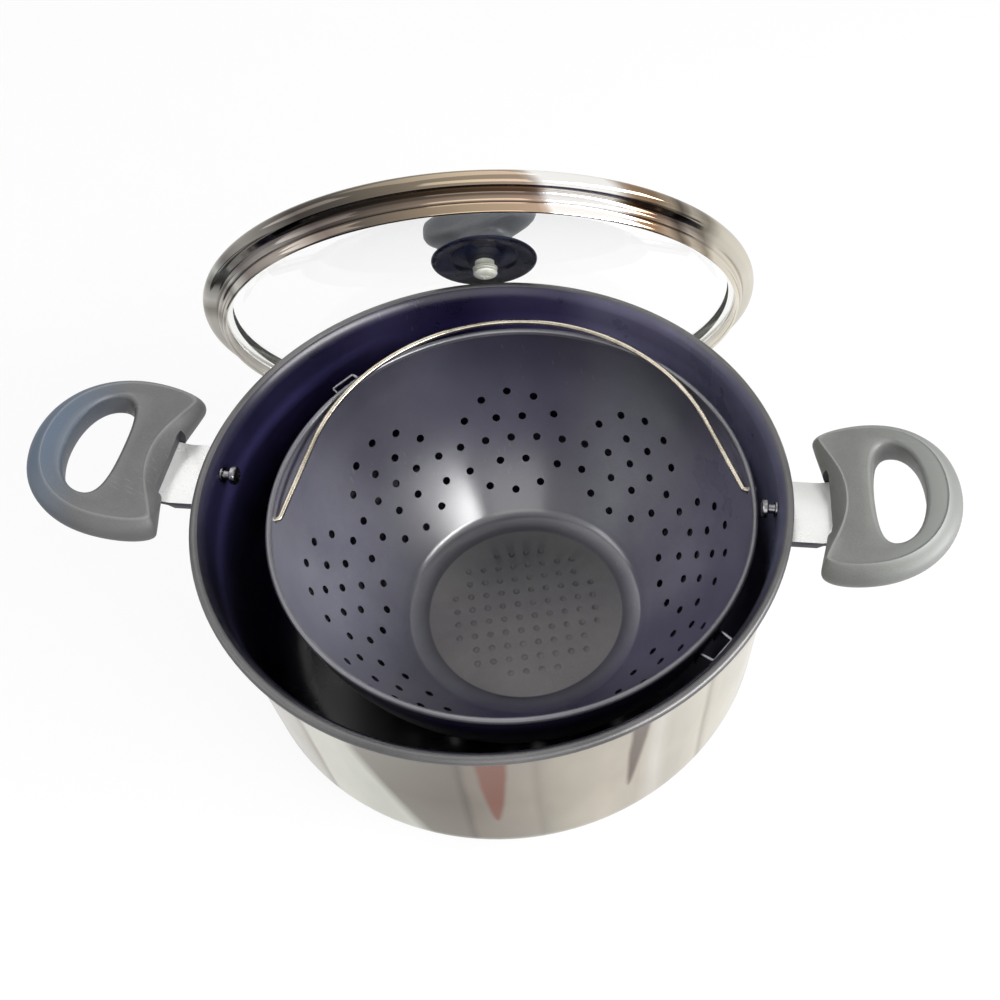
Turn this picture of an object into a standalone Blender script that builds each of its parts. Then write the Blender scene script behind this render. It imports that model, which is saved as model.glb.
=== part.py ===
"""Strainer pot: a 24 cm casserole with a lift-out perforated bowl and a glass lid that leans on its rim."""

import math

import bmesh
import bpy
from mathutils import Matrix, Vector

mm = 0.001
deg = math.pi / 180

# Gap kept between touching pieces.
fit = 0.3 * mm

# Pot body: a drawn steel shell with a rolled rim.
pot_height = 111.6 * mm
pot_wall_radius = 120.4 * mm
pot_wall = 1.6 * mm
pot_floor = 4.0 * mm
pot_corner = 20.0 * mm
rim_bead = 2.0 * mm
rim_flare = 5.0 * mm
rim_radius = pot_wall_radius + 4.6 * mm
rim_inner_radius = pot_wall_radius + 1.1 * mm
rim_curl = (100, -95)

# Hanging pegs: turned studs, welded to the wall by their collars.
peg_drop = 8.2 * mm
peg_reach = 6.8 * mm
peg_shank = 1.5 * mm
peg_head_radius = 4.0 * mm
peg_head = 2.6 * mm
peg_collar_radius = 2.9 * mm
peg_collar = 1.2 * mm

# Handle brackets: pressed channels, open below, welded to the wall by a pad and bent up inside the handle.
bracket_width = 32.0 * mm
bracket_height = 3.8 * mm
bracket_sheet = 1.2 * mm
bracket_drop = 8.7 * mm
bracket_pad = 11.0 * mm
bracket_bend = pot_wall_radius + 17.1 * mm
tongue_length = 14.0 * mm
tongue_height = 2.0 * mm
weld_overlap = 4.0 * mm

# Side handles: moulded loops that rise outwards.
handle_tilt = 16.5 * deg
handle_root = bracket_bend - 2.5 * mm
handle_rise = 3.1 * mm
handle_depth = 58.4 * mm
handle_half_width = 40.5 * mm
handle_widest = 20.4 * mm
handle_root_half_width = 33.5 * mm
handle_root_round = 3.0 * mm
handle_hollow = 4.8 * mm
handle_fullness = 0.59
handle_root_thickness = 16.2 * mm
handle_tip_thickness = 11.0 * mm
handle_edge = 4.5 * mm
finger_start = 23.8 * mm
finger_depth = 20.4 * mm
finger_half_width = 25.3 * mm

# Handle screws: up through the tongue into a threaded insert moulded in the handle.
screw_place = 10.0 * mm
screw_radius = 1.6 * mm
screw_head_radius = 3.2 * mm
screw_head = 1.2 * mm
screw_length = 7.0 * mm
handle_insert_radius = 3.0 * mm
handle_insert_length = 6.0 * mm

# Strainer bowl.
strainer_center = (6.8 * mm, 0.7 * mm)
strainer_turn = 9.0 * deg
strainer_radius = pot_wall_radius - 15.7 * mm
strainer_top = pot_height - 11.8 * mm
strainer_sheet = 1.2 * mm
strainer_bead = 1.3 * mm
strainer_curl = (165, -60)
strainer_base_radius = 48.6 * mm
strainer_heel_radius = strainer_base_radius + 7.2 * mm
strainer_heel_rise = 2.5 * mm

# Perforation: eight rosettes, each one hole, a ring of six and a ring of twelve.
rosette_count = 8
rosette_height = 35.9 * mm
rosette_pitch = 13.5 * mm
rosette_turn = 1.7 * deg
hole_radius = 2.05 * mm

# Bail: one wire, straight legs tangent to an arc, ends peened outside the bowl.
bail_wire = 1.25 * mm
bail_pivot_drop = 6.0 * mm
bail_leg_inset = 0.75 * mm
bail_arc_radius = strainer_radius - 11.7 * mm
bail_arc_rise = 12.0 * mm
bail_rest = 5.3 * deg
bail_head_radius = 2.0 * mm
bail_head = 2.4 * mm

# Wire loops on the outside of the bowl.
loop_wire = 0.8 * mm
loop_half_width = 6.6 * mm
loop_reach = 7.8 * mm
loop_drop = 5.2 * mm
loop_foot = 9.0 * mm
loop_turn = 135.0 * deg

# Lid: a domed glass in a stepped steel ring.
lid_turn = 10.2 * deg
lid_lean = 24.46 * deg
lid_side = 1.0 * mm
glass_thickness = 4.0 * mm
glass_flat_radius = rim_radius - 12.4 * mm
glass_flange = 8.6 * mm
glass_radius = glass_flat_radius + glass_flange
dome_radius = glass_flat_radius - 4.1 * mm
dome_depth = 25.8 * mm
dome_corner = 3.0 * mm
flange_corner = 2.0 * mm
lid_bead = 2.6 * mm
lid_lip = 0.8 * mm
lid_skirt_sheet = 1.8 * mm
lid_skirt_radius = glass_flat_radius + 3.0 * mm + lid_skirt_sheet
lid_skirt_depth = 11.8 * mm
lid_step = 1.8 * mm
lid_step_radius = lid_skirt_radius + lid_step
lid_step_depth = 6.2 * mm
lid_radius = max(glass_radius + fit + 3.5 * mm, lid_step_radius + 2.2 * lid_bead)
lid_floor_gap = 0.2 * mm

# Knob and its fastening, stacked along the lid's axis.
knob_screw_radius = 2.4 * mm
knob_screw_head_radius = 5.7 * mm
knob_screw_head = 2.1 * mm
knob_screw_length = 21.0 * mm
glass_bore_room = 1.0 * mm
washer_radius = 5.6 * mm
washer_thickness = 0.8 * mm
gasket_radius = 5.9 * mm
gasket_thickness = 0.7 * mm
knob_base_radius = 25.3 * mm
knob_base_height = 4.4 * mm
knob_base_edge = 1.8 * mm
knob_neck_half_length = 16.3 * mm
knob_neck_half_width = 10.2 * mm
knob_half_length = 32.0 * mm
knob_half_width = 12.0 * mm
knob_height = 26.0 * mm
knob_turn = -28.0 * deg
insert_radius = 4.2 * mm
insert_length = 11.0 * mm

round_steps = 48
small_steps = 12

for leftover in list(bpy.data.objects):
    bpy.data.objects.remove(leftover, do_unlink=True)

parts = bpy.data.collections.new("strainer_pot")
cutters = bpy.data.collections.new("cutters")
cutters.hide_render = True
bpy.context.scene.collection.children.link(parts)
bpy.context.scene.collection.children.link(cutters)


def make_material(name, color, roughness, metallic=0.0, transmission=0.0):
    material = bpy.data.materials.new(name)
    material.use_nodes = True
    shader = material.node_tree.nodes["Principled BSDF"]
    shader.inputs["Base Color"].default_value = (*color, 1.0)
    shader.inputs["Roughness"].default_value = roughness
    shader.inputs["Metallic"].default_value = metallic
    shader.inputs["Transmission Weight"].default_value = transmission
    return material


nonstick = make_material("nonstick_over_steel", (0.03, 0.025, 0.05), 0.3)
strainer_coat = make_material("strainer_coating", (0.08, 0.075, 0.09), 0.4)
bright_steel = make_material("bright_steel", (0.72, 0.71, 0.69), 0.15, 1.0)
ring_steel = make_material("ring_steel", (0.75, 0.73, 0.7), 0.08, 1.0)
zinc = make_material("zinc_plated_steel", (0.6, 0.6, 0.55), 0.3, 1.0)
phenolic = make_material("phenolic", (0.12, 0.12, 0.13), 0.5)
brass_wire = make_material("bail_wire", (0.75, 0.6, 0.4), 0.25, 1.0)
brass = make_material("brass", (0.75, 0.58, 0.3), 0.35, 1.0)
rubber = make_material("rubber", (0.04, 0.04, 0.04), 0.7)
clear_glass = make_material("clear_glass", (0.95, 0.97, 0.97), 0.02, 0.0, 1.0)


def put(name, mesh, material, parent=None, collection=parts):
    """An object for this mesh, placed in its parent's frame."""
    obj = bpy.data.objects.new(name, mesh)
    collection.objects.link(obj)
    if material:
        mesh.materials.append(material)
    if collection is cutters:
        obj.hide_render = True
        obj.display_type = "WIRE"
    obj.parent = parent
    return obj


def frame(name, location, rotation=(0.0, 0.0, 0.0), parent=None):
    empty = bpy.data.objects.new(name, None)
    parts.objects.link(empty)
    empty.location = location
    empty.rotation_euler = rotation
    empty.parent = parent
    return empty


def turned(name, profile, material, parent=None, steps=small_steps, closed=False, collection=parts):
    """A profile of (radius, height) points turned about its own Z axis; it runs down its outer side."""
    mesh = bpy.data.meshes.new(name)
    count = len(profile)
    edges = [(i, i + 1) for i in range(count - 1)]
    if closed:
        edges.append((count - 1, 0))
    mesh.from_pydata([(r, 0.0, z) for r, z in profile], edges, [])
    obj = put(name, mesh, material, parent, collection)
    screw = obj.modifiers.new("turn", "SCREW")
    screw.axis = "Z"
    screw.steps = steps
    screw.render_steps = steps
    screw.use_merge_vertices = True
    screw.merge_threshold = 1e-6
    screw.use_smooth_shade = True
    return obj


def ring_profile(outer, inner, low, high):
    """Section of a plain ring, for a closed turned shape."""
    return [(inner, high), (outer, high), (outer, low), (inner, low)]


def block(name, low, high, parent, collection=cutters, material=None):
    """A box between two corners, in its parent's frame."""
    mesh = bpy.data.meshes.new(name)
    shape = bmesh.new()
    bmesh.ops.create_cube(shape, size=1.0)
    size = [b - a for a, b in zip(low, high)]
    middle = [(a + b) / 2 for a, b in zip(low, high)]
    bmesh.ops.scale(shape, vec=size, verts=shape.verts)
    bmesh.ops.translate(shape, vec=middle, verts=shape.verts)
    shape.to_mesh(mesh)
    shape.free()
    return put(name, mesh, material, parent, collection)


def prism(name, section, half_width, parent, collection=cutters, material=None):
    """A closed (x, z) section, drawn out to half_width on both sides of the XZ plane."""
    curve = bpy.data.curves.new(name, "CURVE")
    curve.dimensions = "2D"
    curve.fill_mode = "BOTH"
    curve.extrude = half_width
    spline = curve.splines.new("POLY")
    spline.use_cyclic_u = True
    spline.points.add(len(section) - 1)
    for point, place in zip(spline.points, section):
        point.co = (place[0], place[1], 0.0, 1.0)
    guide = bpy.data.objects.new(name + "_guide", curve)
    cutters.objects.link(guide)
    mesh = curve_mesh(guide)
    mesh.transform(Matrix.Rotation(math.pi / 2, 4, "X"))
    return put(name, mesh, material, parent, collection)


def rod_cutter(name, radius, start, end, parent=None, sides=small_steps):
    """A cylinder between two points, used to cut."""
    mesh = bpy.data.meshes.new(name)
    shape = bmesh.new()
    add_rod(shape, radius, start, end, sides)
    shape.to_mesh(mesh)
    shape.free()
    return put(name, mesh, None, parent, cutters)


def add_rod(shape, radius, start, end, sides):
    axis = Vector(end) - Vector(start)
    place = Matrix.Translation((Vector(start) + Vector(end)) / 2)
    place = place @ axis.to_track_quat("Z", "Y").to_matrix().to_4x4()
    bmesh.ops.create_cone(
        shape, cap_ends=True, segments=sides, radius1=radius, radius2=radius, depth=axis.length, matrix=place
    )


def cut(obj, cutter, operation="DIFFERENCE"):
    boolean = obj.modifiers.new(operation.lower(), "BOOLEAN")
    boolean.object = cutter
    boolean.operation = operation
    boolean.solver = "EXACT"


def curve_mesh(curve_object):
    """The evaluated mesh of a curve, with its caps welded; the curve is removed."""
    bpy.context.view_layer.update()
    graph = bpy.context.evaluated_depsgraph_get()
    mesh = bpy.data.meshes.new_from_object(curve_object.evaluated_get(graph))
    shape = bmesh.new()
    shape.from_mesh(mesh)
    bmesh.ops.remove_doubles(shape, verts=shape.verts, dist=1e-6)
    bmesh.ops.recalc_face_normals(shape, faces=shape.faces)
    shape.to_mesh(mesh)
    shape.free()
    mesh.materials.clear()
    bpy.data.objects.remove(curve_object, do_unlink=True)
    return mesh


def wire(name, points, radius, material, parent, swell=None):
    """A round wire through the points; swell gives each point's thickness as a share of the radius."""
    curve = bpy.data.curves.new(name, "CURVE")
    curve.dimensions = "3D"
    curve.bevel_depth = radius
    curve.bevel_resolution = 2
    curve.use_fill_caps = True
    spline = curve.splines.new("POLY")
    spline.points.add(len(points) - 1)
    for i, point in enumerate(points):
        spline.points[i].co = (*point, 1.0)
        spline.points[i].radius = swell[i] if swell else 1.0
    guide = bpy.data.objects.new(name + "_guide", curve)
    cutters.objects.link(guide)
    mesh = curve_mesh(guide)
    mesh.shade_smooth()
    mesh.set_sharp_from_angle(angle=40 * deg)
    return put(name, mesh, material, parent)


def arc(center, radius, start, end, count):
    """Points along an arc, angles in degrees from +X towards +Z, ends included."""
    angles = [(start + (end - start) * i / (count - 1)) * deg for i in range(count)]
    return [(center[0] + radius * math.cos(a), center[1] + radius * math.sin(a)) for a in angles]


# Pot body
inner_wall_radius = pot_wall_radius - pot_wall
bead_center = (rim_radius - rim_bead, pot_height - rim_bead)
peg_height = pot_height - peg_drop


def make_pot_body():
    inner_corner = pot_corner - pot_wall
    profile = [(0.0, pot_floor)]
    profile += arc((inner_wall_radius - inner_corner, pot_floor + inner_corner), inner_corner, -90, 0, 6)
    profile += [(inner_wall_radius, pot_height - rim_flare)]
    profile += [(rim_inner_radius, pot_height - 0.25 * rim_bead)]
    profile += arc(bead_center, rim_bead, *rim_curl, 7)
    profile += [(pot_wall_radius, pot_height - rim_flare)]
    profile += arc((pot_wall_radius - pot_corner, pot_corner), pot_corner, 0, -90, 7)
    profile += [(0.0, 0.0)]
    return turned("pot_body", profile, nonstick, steps=round_steps)


make_pot_body()


# Pegs, brackets, handles, screws and nuts: one set at each end of the X axis
bracket_seat = pot_wall_radius + fit
pad_outer = bracket_seat + bracket_sheet
bracket_top = pot_height - bracket_drop
root_height = bracket_top + handle_rise
lean_cos = math.cos(handle_tilt)
lean_sin = math.sin(handle_tilt)

# Where the bracket's bend lies in the handle's frame: the tongue runs on from there
tongue_start = (bracket_bend - handle_root) * lean_cos - handle_rise * lean_sin
tongue_top = (handle_root - bracket_bend) * lean_sin - handle_rise * lean_cos
tongue_end = tongue_start + tongue_length


def handle_half_thickness(x):
    share = min(max(x / handle_depth, 0.0), 1.0)
    return (handle_root_thickness + (handle_tip_thickness - handle_root_thickness) * share) / 2


def make_peg(name, side_frame):
    """Turned about the wall's normal; heights run outwards from the pot's axis."""
    face = inner_wall_radius - fit
    head_end = inner_wall_radius - peg_reach
    profile = [
        (0.0, face),
        (peg_collar_radius, face),
        (peg_collar_radius, face - peg_collar),
        (peg_shank, face - peg_collar),
        (peg_shank, head_end + peg_head),
        (peg_head_radius, head_end + peg_head),
        (peg_head_radius, head_end + peg_head * 0.3),
        (peg_head_radius * 0.8, head_end),
        (0.0, head_end),
    ]
    peg = turned(name, profile, bright_steel, side_frame)
    peg.location = (0.0, 0.0, peg_height)
    peg.rotation_euler = (0.0, math.pi / 2, 0.0)
    return peg


def make_wall_clearance(name):
    """The pot's outside under and over its rim, grown by the fit."""
    profile = [
        (0.0, 1.5 * pot_height),
        (rim_radius + fit, 1.5 * pot_height),
        (rim_radius + fit, pot_height - 2 * rim_bead - fit),
        (bracket_seat, pot_height - rim_flare - fit),
        (bracket_seat, pot_height / 2),
        (0.0, pot_height / 2),
    ]
    return turned(name, profile, None, steps=round_steps, collection=cutters)


def make_bracket(name, side_frame, handle_frame):
    reach_in = bracket_seat - weld_overlap
    bend = Vector((bracket_bend, bracket_top))
    half_bend = math.tan(handle_tilt / 2)
    along = Vector((lean_cos, lean_sin))
    down = Vector((lean_sin, -lean_cos))
    tip = bend + tongue_length * along
    section = [
        (reach_in, bracket_top),
        bend,
        tip,
        tip + tongue_height * down,
        (bracket_bend + tongue_height * half_bend, bracket_top - tongue_height),
        (bracket_bend - tongue_height, bracket_top - bracket_height),
        (pad_outer, bracket_top - bracket_height),
        (pad_outer, bracket_top - bracket_pad),
        (reach_in, bracket_top - bracket_pad),
    ]
    bracket = prism(name, section, bracket_width / 2, side_frame, parts, bright_steel)
    cut(bracket, make_wall_clearance(name + "_wall_cutter"))
    past = tip + tongue_length * along
    hollow_section = [
        (reach_in, bracket_top - bracket_sheet),
        (bracket_bend + bracket_sheet * half_bend, bracket_top - bracket_sheet),
        past + bracket_sheet * down,
        past + 3 * bracket_pad * down,
        (reach_in, bracket_top - 2 * bracket_pad),
    ]
    hollow = prism(name + "_hollow_cutter", hollow_section, bracket_width / 2 - bracket_sheet, side_frame)
    pad = rod_cutter(
        name + "_pad_cutter", pad_outer, (0, 0, bracket_top - 3 * bracket_pad),
        (0, 0, bracket_top + bracket_pad), sides=2 * round_steps,
    )
    cut(hollow, pad)
    cut(bracket, hollow)
    hole = rod_cutter(
        name + "_screw_cutter", screw_radius + fit, (screw_place, 0, tongue_top - 2 * tongue_height),
        (screw_place, 0, tongue_top + tongue_height), handle_frame,
    )
    cut(bracket, hole)
    return bracket


def handle_outline(curve):
    """Half-turn symmetric loop: rounded outside, hollowed inner face, D-shaped finger hole."""
    lead = handle_fullness
    tip = handle_depth
    wide = (handle_widest, handle_half_width)
    root = (0.0, handle_root_half_width)
    knots = [
        ((handle_hollow, 0.0), (0.0, -0.45 * root[1]), (0.0, 0.45 * root[1])),
        (root, (0.35 * handle_hollow, -0.3 * root[1]), (0.0, handle_root_round)),
        (wide, (-0.6 * handle_widest, 0.0), (lead * (tip - handle_widest), 0.0)),
        ((tip, 0.0), (0.0, lead * handle_half_width), (0.0, -lead * handle_half_width)),
        ((wide[0], -wide[1]), (lead * (tip - handle_widest), 0.0), (-0.6 * handle_widest, 0.0)),
        ((root[0], -root[1]), (0.0, -handle_root_round), (0.35 * handle_hollow, 0.3 * root[1])),
    ]
    add_bezier(curve, knots)
    near = finger_start
    far = finger_start + finger_depth
    half = finger_half_width
    turn = near + 0.36 * finger_depth
    add_bezier(
        curve,
        [
            ((near, 0.0), (0.0, -0.62 * half), (0.0, 0.62 * half)),
            ((turn, half), (-0.3 * finger_depth, 0.0), (0.35 * finger_depth, 0.0)),
            ((far, 0.0), (0.0, 0.6 * half), (0.0, -0.6 * half)),
            ((turn, -half), (0.35 * finger_depth, 0.0), (-0.3 * finger_depth, 0.0)),
        ],
    )


def add_bezier(curve, knots):
    """A closed Bezier loop; each knot is its place, then its two handles as offsets."""
    spline = curve.splines.new("BEZIER")
    spline.use_cyclic_u = True
    spline.bezier_points.add(len(knots) - 1)
    for point, (place, before, after) in zip(spline.bezier_points, knots):
        point.co = (*place, 0.0)
        point.handle_left_type = "FREE"
        point.handle_right_type = "FREE"
        point.handle_left = (place[0] + before[0], place[1] + before[1], 0.0)
        point.handle_right = (place[0] + after[0], place[1] + after[1], 0.0)


def make_handle(name, side_frame, handle_frame):
    curve = bpy.data.curves.new(name, "CURVE")
    curve.dimensions = "2D"
    curve.fill_mode = "BOTH"
    curve.resolution_u = 5
    curve.extrude = handle_root_thickness / 2 - handle_edge
    curve.bevel_depth = handle_edge
    curve.bevel_resolution = 1
    curve.offset = -handle_edge
    handle_outline(curve)
    guide = bpy.data.objects.new(name + "_guide", curve)
    cutters.objects.link(guide)
    mesh = curve_mesh(guide)
    full = handle_root_thickness / 2
    for vertex in mesh.vertices:
        vertex.co.z *= handle_half_thickness(vertex.co.x) / full
    mesh.shade_smooth()
    mesh.set_sharp_from_angle(angle=50 * deg)
    handle = put(name, mesh, phenolic, handle_frame)
    slot_half_width = bracket_width / 2 + fit
    slot = block(
        name + "_slot_cutter", (-tongue_length, -slot_half_width, tongue_top - tongue_height - fit),
        (tongue_end + 2 * fit, slot_half_width, tongue_top + fit), handle_frame,
    )
    cut(handle, slot)
    cut(handle, rod_cutter(
        name + "_sink_cutter", screw_head_radius + 2 * fit, (screw_place, 0, -2 * full),
        (screw_place, 0, tongue_top - tongue_height / 2), handle_frame,
    ))
    cut(handle, rod_cutter(
        name + "_insert_cutter", handle_insert_radius + fit, (screw_place, 0, tongue_top),
        (screw_place, 0, tongue_top + 3 * fit + handle_insert_length), handle_frame,
    ))
    return handle


def make_handle_screw(name, handle_frame):
    """Head under the tongue, shank up through it into the insert."""
    seat = tongue_top - bracket_sheet - fit
    profile = [
        (0.0, seat + screw_length),
        (screw_radius * 0.8, seat + screw_length),
        (screw_radius, seat + 0.9 * screw_length),
        (screw_radius, seat),
        (screw_head_radius, seat),
        (screw_head_radius, seat - screw_head * 0.5),
        (screw_head_radius * 0.6, seat - screw_head),
        (0.0, seat - screw_head),
    ]
    screw = turned(name, profile, zinc, handle_frame)
    screw.location = (screw_place, 0.0, 0.0)
    return screw


def make_handle_insert(name, handle_frame):
    low = tongue_top + 2 * fit
    high = low + handle_insert_length
    profile = ring_profile(handle_insert_radius, screw_radius + fit, low, high)
    insert = turned(name, profile, brass, handle_frame, closed=True)
    insert.location = (screw_place, 0.0, 0.0)
    return insert


for side, turn in (("left", math.pi), ("right", 0.0)):
    side_frame = frame(side + "_side", (0, 0, 0), (0, 0, turn))
    handle_frame = frame(side + "_handle_frame", (handle_root, 0, root_height), (0, -handle_tilt, 0), side_frame)
    make_peg(side + "_peg", side_frame)
    make_bracket(side + "_handle_bracket", side_frame, handle_frame)
    make_handle(side + "_handle", side_frame, handle_frame)
    make_handle_screw(side + "_handle_screw", handle_frame)
    make_handle_insert(side + "_handle_insert", handle_frame)


# Strainer bowl: heights below are in its own frame, from the pot's floor plane
bowl_floor = pot_floor + fit + strainer_sheet
bowl_top = strainer_top - 0.4 * mm
bowl_mouth = strainer_radius - 2 * strainer_bead + 0.2 * mm
bead_z = strainer_top - strainer_bead
bead_r = strainer_radius - strainer_bead
rosette_z = bowl_floor + rosette_height


def bowl_radius(z):
    """Radius of the bowl's inner surface: a parabola that turns upright at the rim."""
    share = (bowl_top - z) / (bowl_top - bowl_floor)
    return bowl_mouth - (bowl_mouth - strainer_heel_radius) * share * share


def bowl_normal(z):
    """Unit vector (radial, upward) pointing out of the bowl at this height."""
    slope = 2 * (bowl_mouth - strainer_heel_radius) * (bowl_top - z) / (bowl_top - bowl_floor) ** 2
    length = math.hypot(1.0, slope)
    return 1.0 / length, -slope / length


def bowl_outside(z, out=strainer_sheet):
    normal = bowl_normal(z)
    return bowl_radius(z) + out * normal[0], z + out * normal[1]


def bowl_heights(count=8):
    start = bowl_floor + strainer_heel_rise
    end = bead_z - strainer_bead
    return [start + (end - start) * (i / (count - 1)) ** 1.15 for i in range(count)]


strainer_frame = frame("strainer_frame", (*strainer_center, 0.0), (0, 0, strainer_turn))


def make_strainer_bowl():
    heights = bowl_heights()
    heel = (strainer_base_radius + bowl_radius(heights[0])) / 2
    profile = [(0.0, bowl_floor), (strainer_base_radius, bowl_floor)]
    profile += [(heel, bowl_floor + 0.28 * strainer_heel_rise)]
    profile += [(bowl_radius(z), z) for z in heights]
    profile += arc((bead_r, bead_z), strainer_bead, *strainer_curl, 6)
    profile += [bowl_outside(z) for z in reversed(heights)]
    profile += [(strainer_base_radius, bowl_floor - strainer_sheet), (0.0, bowl_floor - strainer_sheet)]
    bowl = turned("strainer_bowl", profile, strainer_coat, strainer_frame, steps=round_steps)
    cut(bowl, make_perforation())
    pivot = strainer_top - bail_pivot_drop
    for side in (-1, 1):
        reach = (side * (bowl_mouth - 4 * mm), 0, pivot), (side * (strainer_radius + 4 * mm), 0, pivot)
        cut(bowl, rod_cutter("bail_hole_cutter", bail_wire + fit, *reach, parent=strainer_frame))
    return bowl


def make_perforation():
    """All the drain holes in one cutter: rosettes of 1, 6 and 12 holes spaced evenly round the wall."""
    mesh = bpy.data.meshes.new("perforation_cutter")
    shape = bmesh.new()
    for index in range(rosette_count):
        turn = rosette_turn + 2 * math.pi * index / rosette_count
        for ring in range(3):
            holes = max(1, 6 * ring)
            for step in range(holes):
                angle = 2 * math.pi * step / holes
                along = ring * rosette_pitch * math.cos(angle)
                up = ring * rosette_pitch * math.sin(angle)
                add_drain_hole(shape, turn, along, up)
    shape.to_mesh(mesh)
    shape.free()
    return put("perforation_cutter", mesh, None, strainer_frame, cutters)


def add_drain_hole(shape, turn, along, up):
    """One hexagonal drill: along the wall's round, and up its slope, from the rosette's middle."""
    rise = -bowl_normal(rosette_z)[1]
    upright = bowl_normal(rosette_z)[0]
    z = rosette_z + up * upright / math.hypot(rise, upright)
    radius = bowl_radius(z)
    azimuth = turn + along / radius
    normal = bowl_normal(z)
    outward = Vector((normal[0] * math.cos(azimuth), normal[0] * math.sin(azimuth), normal[1]))
    place = Vector((radius * math.cos(azimuth), radius * math.sin(azimuth), z))
    reach = 2.5 * strainer_sheet
    add_rod(shape, hole_radius, place - reach * outward, place + (reach + strainer_sheet) * outward, 6)


make_strainer_bowl()


# Bail: drawn lying in the plane of its own frame, whose X axis is the pivot line
bail_pivot = strainer_top - bail_pivot_drop
bail_frame = frame("bail_frame", (0, 0, bail_pivot), (bail_rest, 0, 0), strainer_frame)


def make_bail():
    wall = bowl_outside(bail_pivot)[0]
    foot = bowl_radius(bail_pivot) - bail_wire - bail_leg_inset
    lean = math.atan2(bail_arc_rise, foot)
    reach = math.hypot(foot, bail_arc_rise)
    start = math.acos(bail_arc_radius / reach) / deg - lean / deg
    steps = 24
    sweep = arc((0.0, bail_arc_rise), bail_arc_radius, start, 180 - start, steps + 1)
    leg_start = (foot + 0.25 * bail_wire, 0.35 * bail_wire)
    ends = [(wall + fit + bail_head, 0.0), (wall + fit + 0.3 * bail_head, 0.0)]
    ends += [(wall + fit, 0.0), (wall + 0.9 * fit, 0.0), (foot + 1.2 * bail_wire, 0.0), leg_start]
    legs = [(foot - 0.35 * bail_wire, 1.6 * bail_wire)]
    half = ends + legs
    path = half + sweep + [(-x, y) for x, y in reversed(half)]
    grown = bail_head_radius / bail_wire
    ends_swell = [0.75 * grown, grown, grown, 1.0, 1.0, 1.0, 1.0]
    swell = ends_swell + [1.0] * len(sweep) + list(reversed(ends_swell))
    return wire("bail", [(x, y, 0.0) for x, y in path], bail_wire, brass_wire, bail_frame, swell)


make_bail()


# Wire loops: feet welded down the bowl's outside, a square bow standing out under the rim
def make_loop(name, turn):
    holder = frame(name + "_frame", (0, 0, 0), (0, 0, turn), strainer_frame)
    level = strainer_top - loop_drop
    off_wall = strainer_sheet + fit + loop_wire
    across = loop_half_width

    def on_wall(z, y):
        """The wire's centre where it lies on the bowl, y off the loop's middle plane."""
        radius, height = bowl_outside(z, off_wall)
        return math.sqrt(radius * radius - y * y), y, height

    outer = strainer_radius + loop_reach - loop_wire
    corner = 1.6 * mm
    half = [on_wall(level - loop_foot, across), on_wall(level - 0.45 * loop_foot, across)]
    half += [on_wall(level - 1.2 * loop_wire, across)]
    top = half[-1]
    half += [(top[0] + 1.4 * loop_wire, across, level)]
    half += [(outer - corner, across, level), (outer - 0.3 * corner, across - 0.3 * corner, level)]
    half += [(outer, across - corner, level)]
    path = half + [(x, -y, z) for x, y, z in reversed(half)]
    return wire(name, path, loop_wire, bright_steel, holder)


make_loop("rear_loop", loop_turn)
make_loop("front_loop", loop_turn + math.pi)


# Lid: built flat in its own frame, Z towards the knob, then leant on the pot's back rim
sphere_radius = (dome_radius ** 2 + dome_depth ** 2) / (2 * dome_depth)


def dome_height(radius, out=0.0):
    """Height of the dome's inner surface, or of one that is out further along the sphere's radius."""
    full = sphere_radius + out
    return math.sqrt(full * full - radius * radius) - sphere_radius + dome_depth


def dome_points(start, end, count, out=0.0):
    radii = [start + (end - start) * i / (count - 1) for i in range(count)]
    return [(r, dome_height(r, out)) for r in radii]


# Heights along the lid's axis, from inside out
glass_inside = dome_height(gasket_radius)
gasket_top = glass_inside - fit
gasket_low = gasket_top - gasket_thickness
washer_top = gasket_low - fit
washer_low = washer_top - washer_thickness
head_top = washer_low - fit
head_low = head_top - knob_screw_head
glass_outside = dome_height(0.0, glass_thickness)
base_low = dome_height(knob_base_radius - knob_base_edge, glass_thickness) + fit
boss_low = glass_outside + fit
base_top = boss_low + knob_base_height
grip_low = base_top + fit


def lid_location():
    """Ring bead just above the table; glass and knob screw just clear of the rim that they lean on."""
    height = (lid_radius - lid_bead) * math.cos(lid_lean) + lid_bead + lid_floor_gap
    outward = Vector((math.cos(lid_lean), math.sin(lid_lean)))
    up_lid = Vector((-math.sin(lid_lean), math.cos(lid_lean)))
    rise = bead_center[1] - height
    sphere = (dome_depth - sphere_radius) * outward
    reach = sphere_radius - rim_bead - fit
    out = bead_center[0] - sphere.x - math.sqrt(reach ** 2 - (rise - sphere.y) ** 2)
    touch = Vector((bead_center[0] - out, rise))
    if abs(touch.dot(up_lid)) < 1.4 * knob_screw_head_radius + rim_bead + fit:
        head_face = head_low - rim_bead - fit
        out += max(0.0, touch.dot(outward) - head_face) / outward.x
    direction = math.pi / 2 + lid_turn
    x = out * math.cos(direction) + lid_side * math.cos(lid_turn)
    y = out * math.sin(direction) + lid_side * math.sin(lid_turn)
    return x, y, height


lid_frame = frame("lid_frame", lid_location(), (lid_lean - math.pi / 2, 0, lid_turn))


def make_lid_glass():
    bore = knob_screw_radius + glass_bore_room
    low = -glass_thickness / 2
    high = glass_thickness / 2
    profile = dome_points(bore, dome_radius - dome_corner, 8)
    profile += [(glass_flat_radius - flange_corner, low), (glass_radius, low), (glass_radius, high)]
    profile += [(glass_flat_radius, high)]
    profile += list(reversed(dome_points(bore, dome_radius, 8, glass_thickness)))
    profile.reverse()
    return turned("lid_glass", profile, clear_glass, lid_frame, steps=round_steps, closed=True)


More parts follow.
